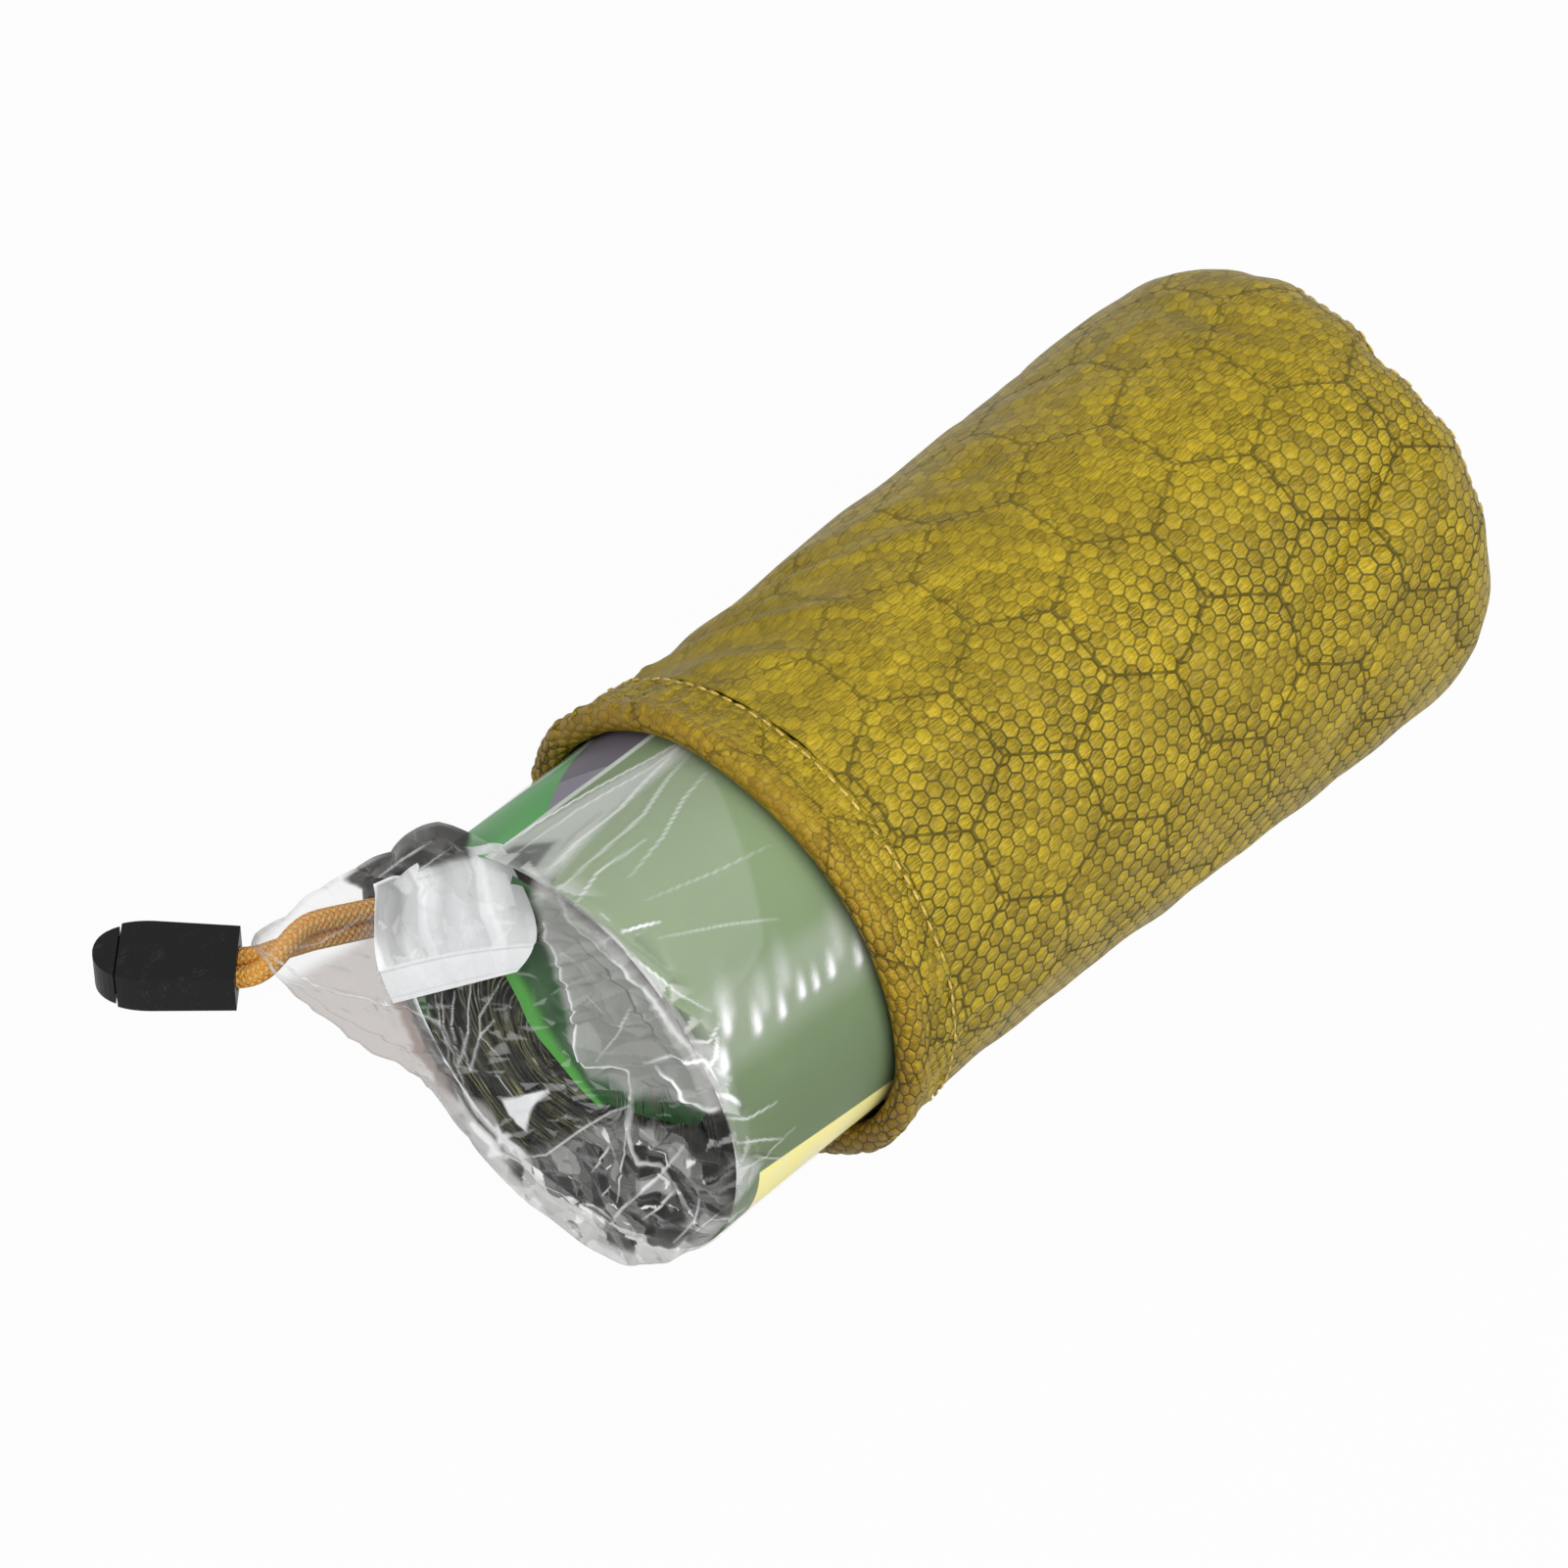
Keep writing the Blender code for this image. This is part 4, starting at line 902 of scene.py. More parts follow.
FOLDS = (
    # start along, start angle, end along, end angle, width, height, in millimetres and degrees
    (58, 219, 36, 236, 3.8, -2.3), (36, 236, 12, 249, 4.2, -1.7), (62, 226, 30, 248, 4.2, 1.7),
    (-1.4, 209, -1, 240, 1.3, -0.75), (-61, 268.5, -40, 271, 1.6, 0.7),
    (-61, 272.5, -38, 275, 2, -0.8), (-59, 128, -35, 171, 2.6, 1.25),
    (-60, 148, -46, 178, 2.2, 0.9), (-47, 128, -12, 169, 2.6, 1.2), (-33, 130, -3, 160, 3, 1),
    (-52, 130, -36, 160, 2.2, -1), (-40, 130, -20, 158, 2.4, -1), (-14, 152, 10, 162, 2.2, -0.6),
    (18, 145, 30, 154, 2.2, 0.7), (28, 154, 48, 153, 2, 0.6), (49, 148, 50, 178, 2.4, -0.7),
    (-0.9, 208.7, 8.4, 250.5, 3, 0.9), (-64.5, 139, -61, 154, 1.4, 0.6),
    (-60, 132, -58, 136, 2, 1.3), (60, 188, 64, 216, 8.5, -2.6), (20, 278, 52, 268, 5, -1.2),
    (-20, 282, 16, 292, 4, 0.8), (-55, 60, -20, 75, 3, 0.9), (-58, 92, -30, 100, 3.2, -0.9),
    (10, 80, 50, 105, 4.5, -1.3), (0, 330, 45, 318, 4.5, 0.9),
)


def sack_radius(along):
    """The cloth's outer radius, which widens to the closed end."""
    share = ramp(along, HEM_BACK_X, END_X - BULGE - CORNER)
    return AXIS_Z - FLOOR_GAP + (SACK_END_RADIUS - AXIS_Z) * share


def fold_height(along, angle):
    """Height of the cloth's folds and slack at places."""
    height = np.zeros(np.broadcast(along, angle).shape)
    for x0, a0, x1, a1, width, rise in FOLDS:
        line = ((x0 * MM, math.radians(a0) * FOLD_RADIUS),
                (x1 * MM, math.radians(a1) * FOLD_RADIUS))
        gap, share = line_distance(along, angle * FOLD_RADIUS, line)
        taper = 0.35 + 0.65 * np.sin(math.pi * share)
        near = np.exp(-(gap / (width * MM)) ** 2)
        wide = np.exp(-(gap / (2.4 * width * MM)) ** 2)
        height += rise * MM * taper * (near - 0.35 * wide)
    rim = math.tau * FOLD_RADIUS
    height += 0.40 * MM * ripple(waves(11, 26, 70 * MM, 24 * MM, rim), along, angle)
    height += 0.13 * MM * ripple(waves(12, 40, 18 * MM, 7 * MM, rim), along, angle)
    near_hem = 1 - ramp(along, HEM_BACK_X, HEM_BACK_X + 12 * MM)
    height += 0.28 * MM * near_hem * ripple(waves(13, 30, 12 * MM, 5 * MM, rim),
                                            along * 0.25, angle)
    return height


def corner_place():
    """Where the sack's rounded corner starts, and the ring that its rounding turns about."""
    start = END_X - BULGE - CORNER
    return start, float(sack_radius(start)) - CORNER


def cloth_place(run, angle, lift=0.0):
    """A place on the cloth: its run from the hem over the corner to the end's middle."""
    start, ring = corner_place()
    bend = np.clip((run - start) / CORNER, 0, math.pi / 2)
    share = 1 - np.clip((run - start - CORNER * math.pi / 2) / ring, 0, 1)
    along = np.where(run < start, run, start + CORNER * np.sin(bend))
    along = np.where(share < 1, END_X - BULGE + BULGE * (1 - share ** 2), along)
    radius = np.where(run < start, sack_radius(run), (ring + CORNER * np.cos(bend)) * share)
    height = fold_height(np.minimum(along, start + 6 * MM), angle) * share ** 2
    seam = run - (start + CORNER * CORNER_SEAM)
    pucker = ripple(waves(21, 30, 14 * MM, 6 * MM, math.tau * 38 * MM), run * 0.2, angle)
    height = height + 0.25 * MM * pucker * np.exp(-(seam / (6 * MM)) ** 2) * share ** 2
    height = height - 0.45 * MM * np.exp(-(seam / (0.6 * MM)) ** 2) + lift
    out = radius + height * np.cos(bend)
    low = FLOOR_GAP + 0.5 * MM * ramp(run, start, start + CORNER * 1.6)
    x = along + height * np.sin(bend) + 0 * angle
    z = np.maximum(AXIS_Z - out * np.cos(angle), low + lift)
    return np.stack(np.broadcast_arrays(x, out * np.sin(angle), z), -1)


def sack_cloth_mesh(sizes):
    """The sack's side, corner and end panel as one closed-ended cloth."""
    start, ring = corner_place()
    bend_end = start + CORNER * math.pi / 2
    run = np.concatenate([np.linspace(HEM_BACK_X + 0.2 * MM, start, sizes.rows),
                          np.linspace(start, bend_end, 17)[1:],
                          np.linspace(bend_end, bend_end + ring, 33)[1:-1]])[:, None]
    around = sizes.around
    angle = (np.arange(around + 1) * math.tau / around)[None, :]
    points = cloth_place(run, np.mod(angle, math.tau))
    flat = np.stack(np.broadcast_arrays(run, CLOTH_UV_RADIUS * angle), -1)
    side = np.stack([END_UV[0] + points[..., 1], END_UV[1] + points[..., 2]], -1)
    use_side = (run > start + CORNER * CORNER_SEAM)[..., None]
    mesh = grid_mesh("sack_cloth", points[:, :-1], np.where(use_side, side, flat), closed=True)
    work = open_mesh(mesh)
    pole = close_end(work, work.verts[-around:], (END_X - 0.05 * MM, 0.0, AXIS_Z))
    layer = work.loops.layers.uv["cloth"]
    for face in pole.link_faces:
        for loop in face.loops:
            loop[layer].uv = (END_UV[0] + loop.vert.co.y, END_UV[1] + loop.vert.co.z)
    close_mesh(work, mesh)
    first = mesh.polygons[0]
    if first.normal.y * first.center.y + first.normal.z * (first.center.z - AXIS_Z) < 0:
        mesh.flip_normals()
    return mesh


def hem_mesh(sizes):
    """Rolled hem: the drawcord's tunnel and its seam allowance, open at the slit."""
    ring = TUNNEL_RING
    gap = math.asin(SLIT_HALF / ring)
    start = SLIT_ANGLE + gap
    sweep = math.tau - 2 * gap
    steps = sizes.around * 2
    # along from the tunnel's middle, out from it, and how far it takes the rim's tint:
    # round the tunnel, then the seam allowance outside and back along its inside
    profile = []
    for i in range(17):
        turn = math.radians(-58 - i * 15.2)
        profile.append((2.45 * MM * math.cos(turn), 2.45 * MM * math.sin(turn),
                        1.0 if math.sin(turn) < 0.75 and math.cos(turn) < 0.6 else 0.6))
    back = HEM_BACK_X - TUNNEL_X
    for share in (0.35, 0.6, 0.8, 0.93, 1.0):
        profile.append((back * share, (AXIS_Z - ring) + 0.15 * MM + 0.7 * MM * (1 - share),
                        0.25 * (1 - share)))
    profile.append((back, AXIS_Z - ring - 0.5 * MM, 0.0))
    for share in (0.7, 0.4):
        profile.append((back * share, AXIS_Z - ring - 0.55 * MM - 0.8 * MM * (1 - share), 0.0))
    table = np.array(profile)
    angle = (start + sweep * np.arange(steps + 1) / steps)[None, :]
    turn = np.mod(angle, math.tau)
    along = table[:, 0][:, None]
    out = table[:, 1][:, None]
    rim = math.tau * ring
    outside = ramp(out, -1.0 * MM, 1.5 * MM)
    ribs = ripple(waves(31, 22, 3.4 * MM, 1.9 * MM, rim), along * 0.35, turn)
    slack = ripple(waves(32, 18, 40 * MM, 12 * MM, rim), along, turn)
    height = 0.24 * MM * ribs * outside + 0.28 * MM * slack
    belt = np.exp(-((along - back * 0.55) / (3.0 * MM)) ** 2)
    height += 0.22 * MM * belt * outside * ripple(waves(33, 26, 9 * MM, 4 * MM, rim),
                                                  along * 0.3, turn)
    radius = ring + out + np.minimum(height, 0.35 * MM)
    points = around_axis(TUNNEL_X + along, turn, radius, PRESSED)
    points[..., 2] = np.maximum(points[..., 2], 0.1 * MM)
    run = np.concatenate([[0], np.cumsum(np.hypot(np.diff(table[:, 0]),
                                                  np.diff(table[:, 1])))])[:, None]
    uvs = np.stack([0.5 - run * 1.6 + 0 * angle, ring * angle + 0 * run], -1)
    # inside marks the hem's inner face by the mouth, where the cloth's material paints shade
    inside = ramp(-out, 0.4 * MM, 2.2 * MM) * ramp(along, -1.4 * MM, 0.6 * MM)
    # the profile closes on its first point
    points, uvs, edge, inside = (np.concatenate([part, part[:1]]) for part in (
        points, uvs, np.repeat(table[:, 2][:, None], steps + 1, 1), inside + 0 * angle))
    mesh = grid_mesh("mouth_hem_cloth", points, uvs, masks={"rim": edge, "inside": inside})
    work = open_mesh(mesh)
    bmesh.ops.remove_doubles(work, verts=work.verts, dist=0.000001)
    open_edges = [edge for edge in work.edges if edge.is_boundary]
    bmesh.ops.holes_fill(work, edges=open_edges, sides=60)
    bmesh.ops.triangulate(work, faces=[face for face in work.faces if len(face.verts) > 4])
    close_mesh(work, mesh)
    mesh.shade_smooth()
    return mesh


# Geometry Nodes

GEOMETRY = "NodeSocketGeometry"
NUMBER = "NodeSocketFloat"


def set_inputs(modifier, **values):
    """Set inputs of a modifier's tree; names have underscores for spaces."""
    sockets = {item.name: item.identifier for item in modifier.node_group.interface.items_tree
               if item.item_type == "SOCKET" and item.in_out == "INPUT"}
    for key, value in values.items():
        modifier[sockets[key.replace("_", " ")]] = value


def stitch_tree():
    """Running stitches along a line: short rounded threads, one after another."""
    tree, start, end = new_group("Running Stitches", "GeometryNodeTree", (
        ("Geometry", "INPUT", GEOMETRY, None),
        ("Spacing", "INPUT", NUMBER, 0.0027),
        ("Stitch Length", "INPUT", NUMBER, 0.0019),
        ("Thread", "INPUT", NUMBER, 0.00045),
        ("Material", "INPUT", "NodeSocketMaterial", None),
        ("Geometry", "OUTPUT", GEOMETRY, None),
    ))
    line = put(tree, "GeometryNodeMeshToCurve", (start.outputs["Geometry"],))
    even = put(tree, "GeometryNodeResampleCurve", {"Curve": line.outputs[0],
                                                   "Length": start.outputs["Spacing"]},
               mode="LENGTH")
    tangent = put(tree, "GeometryNodeInputTangent")
    facing = put(tree, "FunctionNodeAlignRotationToVector", {"Vector": tangent.outputs[0]},
                 axis="X")
    jitter = put(tree, "FunctionNodeRandomValue", {
        0: (-0.05, -0.03, -0.09), 1: (0.05, 0.03, 0.09), "Seed": 7}, data_type="FLOAT_VECTOR")
    euler = put(tree, "FunctionNodeEulerToRotation", (jitter.outputs[0],))
    turned = put(tree, "FunctionNodeRotateRotation", (facing.outputs[0], euler.outputs[0]),
                 rotation_space="LOCAL")
    bead = put(tree, "GeometryNodeMeshUVSphere", {"Segments": 8, "Rings": 6, "Radius": 0.5})
    size = put(tree, "ShaderNodeCombineXYZ", (start.outputs["Stitch Length"],
                                              start.outputs["Thread"],
                                              start.outputs["Thread"]))
    placed = put(tree, "GeometryNodeInstanceOnPoints", {
        "Points": even.outputs[0], "Instance": bead.outputs[0],
        "Rotation": turned.outputs[0], "Scale": size.outputs[0]})
    real = put(tree, "GeometryNodeRealizeInstances", (placed.outputs[0],))
    shaded = put(tree, "GeometryNodeSetShadeSmooth", (real.outputs[0],))
    done = put(tree, "GeometryNodeSetMaterial", {"Geometry": shaded.outputs[0],
                                                 "Material": start.outputs["Material"]})
    tree.links.new(done.outputs[0], end.inputs[0])
    return tree


def wound_strip_tree():
    """The wound bag: a spiral of layers that is pressed flat below, with uneven edges."""
    tree, start, end = new_group("Wound Strip", "GeometryNodeTree", (
        ("Geometry", "INPUT", GEOMETRY, None),
        ("Turns", "INPUT", NUMBER, 7.1),
        ("Core Radius", "INPUT", NUMBER, 0.0044),
        ("Pitch", "INPUT", NUMBER, 0.0038),
        ("Fold Thickness", "INPUT", NUMBER, 0.0032),
        ("Layers", "INPUT", "NodeSocketInt", 4),
        ("End Angle", "INPUT", NUMBER, math.radians(62)),
        ("Front", "INPUT", NUMBER, 0.0),
        ("Length", "INPUT", NUMBER, 0.138),
        ("Axis Height", "INPUT", NUMBER, 0.04),
        ("Pressed", "INPUT", NUMBER, 0.0016),
        ("Unevenness", "INPUT", NUMBER, 0.0016),
        ("Material", "INPUT", "NodeSocketMaterial", None),
        ("Geometry", "OUTPUT", GEOMETRY, None),
    ))
    given = start.outputs
    strip = put(tree, "GeometryNodeMeshGrid", {"Size X": 1.0, "Size Y": 1.0,
                                               "Vertices X": 380, "Vertices Y": 10})
    stack = put(tree, "GeometryNodeMeshLine", {"Count": given["Layers"]})
    copies = put(tree, "GeometryNodeInstanceOnPoints", {"Points": stack.outputs[0],
                                                        "Instance": strip.outputs[0]})
    index = put(tree, "GeometryNodeInputIndex").outputs[0]
    named = put(tree, "GeometryNodeStoreNamedAttribute", {
        "Geometry": copies.outputs[0], "Name": "layer", "Value": index},
        data_type="FLOAT", domain="INSTANCE")
    real = put(tree, "GeometryNodeRealizeInstances", (named.outputs[0],))
    spot = put(tree, "ShaderNodeSeparateXYZ", (put(
        tree, "GeometryNodeInputPosition").outputs[0],)).outputs
    layer = put(tree, "GeometryNodeInputNamedAttribute", {"Name": "layer"},
                data_type="FLOAT").outputs[0]
    # wound and depth are shares of the strip's length and width
    wound = plus(tree, spot[0], 0.5)
    depth = plus(tree, spot[1], 0.5)
    turn = times(tree, wound, given["Turns"])
    edge = calc(tree, "POWER", minus(tree, 1.0, depth), 3.0)
    row = calc(tree, "POWER", depth, 3.0)
    place = put(tree, "ShaderNodeCombineXYZ", (times(tree, turn, 6.5),
                                               times(tree, layer, 5.3),
                                               times(tree, depth, 2.5)))
    sway = put(tree, "ShaderNodeSeparateXYZ", (
        centred_noise(tree, place.outputs[0], 1.0, 3.0),)).outputs
    slack = times(tree, times(tree, sway[0], edge), 0.0016)
    step = calc(tree, "DIVIDE", given["Fold Thickness"], given["Layers"])
    radius = calc(tree, "MULTIPLY_ADD", plus(tree, layer, 0.5), step, given["Core Radius"])
    radius = calc(tree, "MULTIPLY_ADD", given["Pitch"], turn, radius)
    radius = plus(tree, radius, slack)
    back = minus(tree, given["Turns"], turn)
    angle = minus(tree, given["End Angle"], times(tree, back, math.tau))
    y = times(tree, radius, calc(tree, "SINE", angle))
    z = times(tree, radius, times(tree, calc(tree, "COSINE", angle), -1.0))
    z = calc(tree, "MAXIMUM", z, minus(tree, given["Pressed"], radius))
    z = plus(tree, z, given["Axis Height"])
    ragged = calc(tree, "ABSOLUTE", times(tree, sway[1], 2.2))
    ragged = times(tree, times(tree, ragged, edge), given["Unevenness"])
    x = calc(tree, "MULTIPLY_ADD", row, given["Length"], plus(tree, given["Front"], ragged))
    moved = put(tree, "GeometryNodeSetPosition", {
        "Geometry": real.outputs[0],
        "Position": put(tree, "ShaderNodeCombineXYZ", (x, y, z)).outputs[0]})
    shaded = put(tree, "GeometryNodeSetShadeSmooth", (moved.outputs[0],))
    done = put(tree, "GeometryNodeSetMaterial", {"Geometry": shaded.outputs[0],
                                                 "Material": given["Material"]})
    tree.links.new(done.outputs[0], end.inputs[0])
    return tree


def seam_stitches(name, points, spacing, length, thread):
    """Stitches along a line of points, as a plain mesh."""
    mesh = bpy.data.meshes.new(name)
    mesh.from_pydata([tuple(p) for p in points], [(i, i + 1) for i in range(len(points) - 1)],
                     [])
    obj = new_object(name, mesh, material("thread"))
    modifier = obj.modifiers.new("stitches", "NODES")
    if "stitches" not in GROUPS:
        GROUPS["stitches"] = stitch_tree()
    modifier.node_group = GROUPS["stitches"]
    set_inputs(modifier, Spacing=spacing, Stitch_Length=length, Thread=thread,
               Material=material("thread"))
    return apply_modifiers(obj)


# The cord

def even_route(points, spacing):
    """Even points along a Catmull-Rom curve through a route."""
    ends = [2 * points[0] - points[1]] + list(points) + [2 * points[-1] - points[-2]]
    fine = []
    for i in range(1, len(ends) - 2):
        before, first, second, after = ends[i - 1:i + 3]
        for step in range(8):
            t = step / 8
            fine.append(0.5 * (2 * first + (second - before) * t
                               + (2 * before - 5 * first + 4 * second - after) * t * t
                               + (3 * first - before - 3 * second + after) * t ** 3))
    fine.append(ends[-2])
    runs = np.concatenate([[0], np.cumsum([(b - a).length for a, b in zip(fine, fine[1:])])])
    count = round(runs[-1] / spacing)
    table = np.array([tuple(p) for p in fine])
    spots = np.linspace(0, runs[-1], count + 1)
    return np.stack([np.interp(spots, runs, table[:, k]) for k in range(3)], -1), runs[-1]


def cord_mesh(name, route, radius, sides=20):
    """A braided tube along a route, with UVs along and around, its ends closed."""
    tangent = np.gradient(route, axis=0)
    tangent /= np.linalg.norm(tangent, axis=1)[:, None]
    side = np.cross(tangent[0], (0.0, 0.0, 1.0))
    if np.linalg.norm(side) < 0.1:
        side = np.array((1.0, 0.0, 0.0))
    rings = []
    for direction in tangent:
        side = side - direction * (side @ direction)
        side = side / np.linalg.norm(side)
        up = np.cross(direction, side)
        turn = np.arange(sides) * math.tau / sides
        rings.append(np.cos(turn)[:, None] * side + np.sin(turn)[:, None] * up)
    run = np.concatenate([[0], np.cumsum(np.linalg.norm(np.diff(route, axis=0), axis=1))])
    turns = np.arange(sides)[None, :] / sides * BRAID_STRANDS
    wound = run[:, None] * (BRAID_STRANDS / BRAID_LAY)
    crossing = np.sin(math.pi * (turns + wound)) * np.sin(math.pi * (turns - wound))
    relief = 0.07 * MM * (np.abs(crossing) - 0.5)
    points = route[:, None, :] + np.array(rings) * (radius - 0.04 * MM + relief)[..., None]
    uvs = np.stack(np.broadcast_arrays(run[:, None], np.arange(sides + 1)[None, :] / sides),
                   -1)
    mesh = grid_mesh(name, points, uvs, "cord", closed=True)
    work = open_mesh(mesh)
    work.faces.new(work.verts[:sides][::-1])
    work.faces.new(work.verts[-sides:])
    close_mesh(work, mesh)
    return mesh


# The film

FRONT_OUTLINE = (
    # across and up from the roll's axis, in millimetres, all the way round
    (36.2, 18.4), (43.6, 9.8), (50.8, 0.6), (58.8, -11), (65.2, -19.8), (66.4, -23.2), (64.4, -25),
    (58.4, -28.6), (51, -29), (44.9, -29.4), (37, -29.6), (32, -30), (27.5, -31.3), (22.2, -31.4),
    (19.2, -32), (17, -34.5), (11.8, -37), (6.6, -38), (1.2, -38.2), (-6.2, -37.9), (-11.6, -36.6),
    (-17, -34.2), (-21.6, -29.6), (-25.8, -24.2), (-29.6, -19.5), (-31.8, -15), (-35, -9),
    (-36.4, 0), (-35.3, 9.5), (-31.5, 18.3), (-25.6, 25.9), (-18, 31.6), (-9.4, 35.2), (0, 36.5),
    (9.4, 35.4), (17, 35.2), (24.8, 33.6), (30.8, 27.2),
)
FRONT_LINES = (
    # width, cover, tone, rise, then the line's points across and up, in millimetres; lines of tone
    # near 1 are painted highlights along creases, those of low tone painted shade
    (0.34, 0.65, 0.9, 0.4, (38.5, 11.5), (32, 21), (25.5, 29.5)),
    (0.26, 0.55, 0.9, 0.3, (34.5, 13.5), (27.5, 22.5), (21.5, 31)),
    (0.26, 0.45, 0.8, 0.3, (30, 18), (24, 24), (19, 30)),
    (0.24, 0.8, 1, 0.4, (25.1, -1.6), (23.9, -8.7), (22.7, -17.9), (21.8, -20.6)),
    (0.3, 0.75, 1, 0.4, (15.7, 10), (16.9, -3.2), (18.8, -11.4), (20.3, -17.2)),
    (0.28, 0.65, 0.9, 0.3, (10, 11), (14, 1.3), (13.5, -2.8), (10.1, -5.7)),
    (0.45, 0.85, 1, 0.9, (65.9, -23.3), (60.7, -22.7), (51.7, -21.6), (40.5, -17.2), (31.6, -12.7),
     (23.5, -8.6)),
    (0.35, 0.7, 1, 0.4, (65.1, -23.1), (62.5, -25.6), (58.7, -26), (48, -20.7), (39, -16.4)),
    (0.25, 0.45, 0.9, 0.4, (62, -21), (52, -12.5), (46, -5), (40.5, 3)),
    (0.3, 0.35, 0.85, 0.3, (60, -25.2), (50, -26.2), (40, -24.6), (30, -24.4)),
    (0.4, 0.8, 1, 0.5, (38.6, -4), (39.4, -9.8), (37, -16.7), (36.2, -20.9)),
    (0.22, 0.4, 0.9, 0.3, (44, -8), (37, -8), (33, -4)),
    (0.3, 0.75, 1, 0.8, (23.1, -0.8), (22.8, -8.8), (19.6, -16.2), (17.8, -23.2)),
    (0.25, 0.85, 1, 0.7, (20.2, 1.5), (20.9, -7.4), (19.5, -14.6)),
    (0.3, 0.7, 1, 0.7, (19.1, -5.9), (17.4, -14.4), (14.1, -3.5), (11, 2.6)),
    (0.25, 0.45, 0.2, 0.3, (21.6, -3), (21, -13), (16.5, -22)),
    (0.3, 0.55, 0.15, 0.4, (26, -14), (21.5, -20.5), (16, -25.5), (10.5, -28.5)),
    (0.45, 0.9, 1, 1.5, (1, 30.7), (-2.6, 26.2), (-6.1, 19.5), (-7.2, 12.4), (-8.4, 7.4),
     (-14, 11.8), (-16.7, 11.7), (-17.9, 7.5)),
    (0.28, 0.6, 1, 0.6, (-11.3, 11.1), (-15.9, 22), (-17, 26)),
    (0.34, 0.42, 1, 0.8, (0.1, 35.5), (-5.9, 33.4), (-13.9, 31.6), (-20.5, 28.4), (-26.8, 23.2),
     (-31.6, 17.4)),
    (0.4, 0.55, 0.15, 0.6, (-3, 31.5), (-12, 29.5), (-19.5, 25.5), (-26, 20)),
    (0.3, 0.45, 0.25, 0.4, (-4.5, 27), (-10.5, 24.5), (-16, 20.5)),
    (0.38, 0.85, 1, 1, (-20.2, 16.6), (-24.9, 21.1), (-29.2, 21.3), (-32.2, 17.5)),
    (0.8, 1, 1, 1.3, (-22, 16.6), (-24.8, 16.2), (-28.2, 14.2), (-32.2, 13.9)),
    (0.3, 0.6, 0.1, 0.4, (-21.4, 14.2), (-25, 13), (-29, 11.6), (-32.6, 10.6)),
    (1, 0.55, 0.95, 1.6, (-17.9, 7.5), (-17.4, 0.4), (-19.7, -5.3), (-23.1, -4.8), (-27.7, -12.4)),
    (0.32, 0.65, 1, 0.8, (-17.5, 1.2), (-16.2, -8.1), (-15, -18.2)),
    (0.42, 0.7, 1, 1, (-12.3, -26.6), (-16, -18.9), (-22.4, -7.6), (-28, 4.4)),
    (0.3, 0.65, 1, 0.8, (8.1, -28.5), (1.5, -21.6), (-6.6, -9), (-13.7, 1.2), (-17.9, 6)),
    (0.75, 1, 1, 0.8, (0.2, -5.5), (3.4, -10), (5.4, -14.5), (5.6, -17.2)),
    (0.4, 0.9, 1, 0.5, (0.2, -5.5), (4.8, -10), (7, -12.8)),
    (0.9, 1, 1, 0.6, (13.6, -30.4), (11.8, -26.5), (9.8, -23.6)),
    (0.45, 0.85, 1, 0.5, (13.2, -31.2), (8, -30), (3, -28.5)),
    (0.3, 0.75, 1, 0.6, (3.8, -29.5), (-4.2, -28), (-11, -30)),
    (0.55, 0.95, 1, 0.6, (-6.2, -27), (-8.8, -25), (-12, -25.6)),
    (0.28, 0.8, 1, 0.5, (-8.5, -17.5), (-11, -12.5), (-12, -8.5)),
    (0.25, 0.75, 1, 0.4, (-11.4, -20), (-13.6, -15.6)),
    (0.3, 0.7, 1, 0.5, (-18.5, -21), (-22, -15.5), (-25, -9)),
    (0.35, 0.8, 0.1, 0.5, (-17, -17), (-20.5, -10.5)),
    (0.5, 0.75, 0.1, 0.5, (-9, -14), (-10.5, -20.5)),
    (0.45, 0.75, 0.1, 0.5, (-21, -3), (-24.5, 3), (-27, 9)),
    (0.28, 0.55, 1, 0.5, (-24.5, -22), (-28.5, -14), (-30.5, -4)),
)
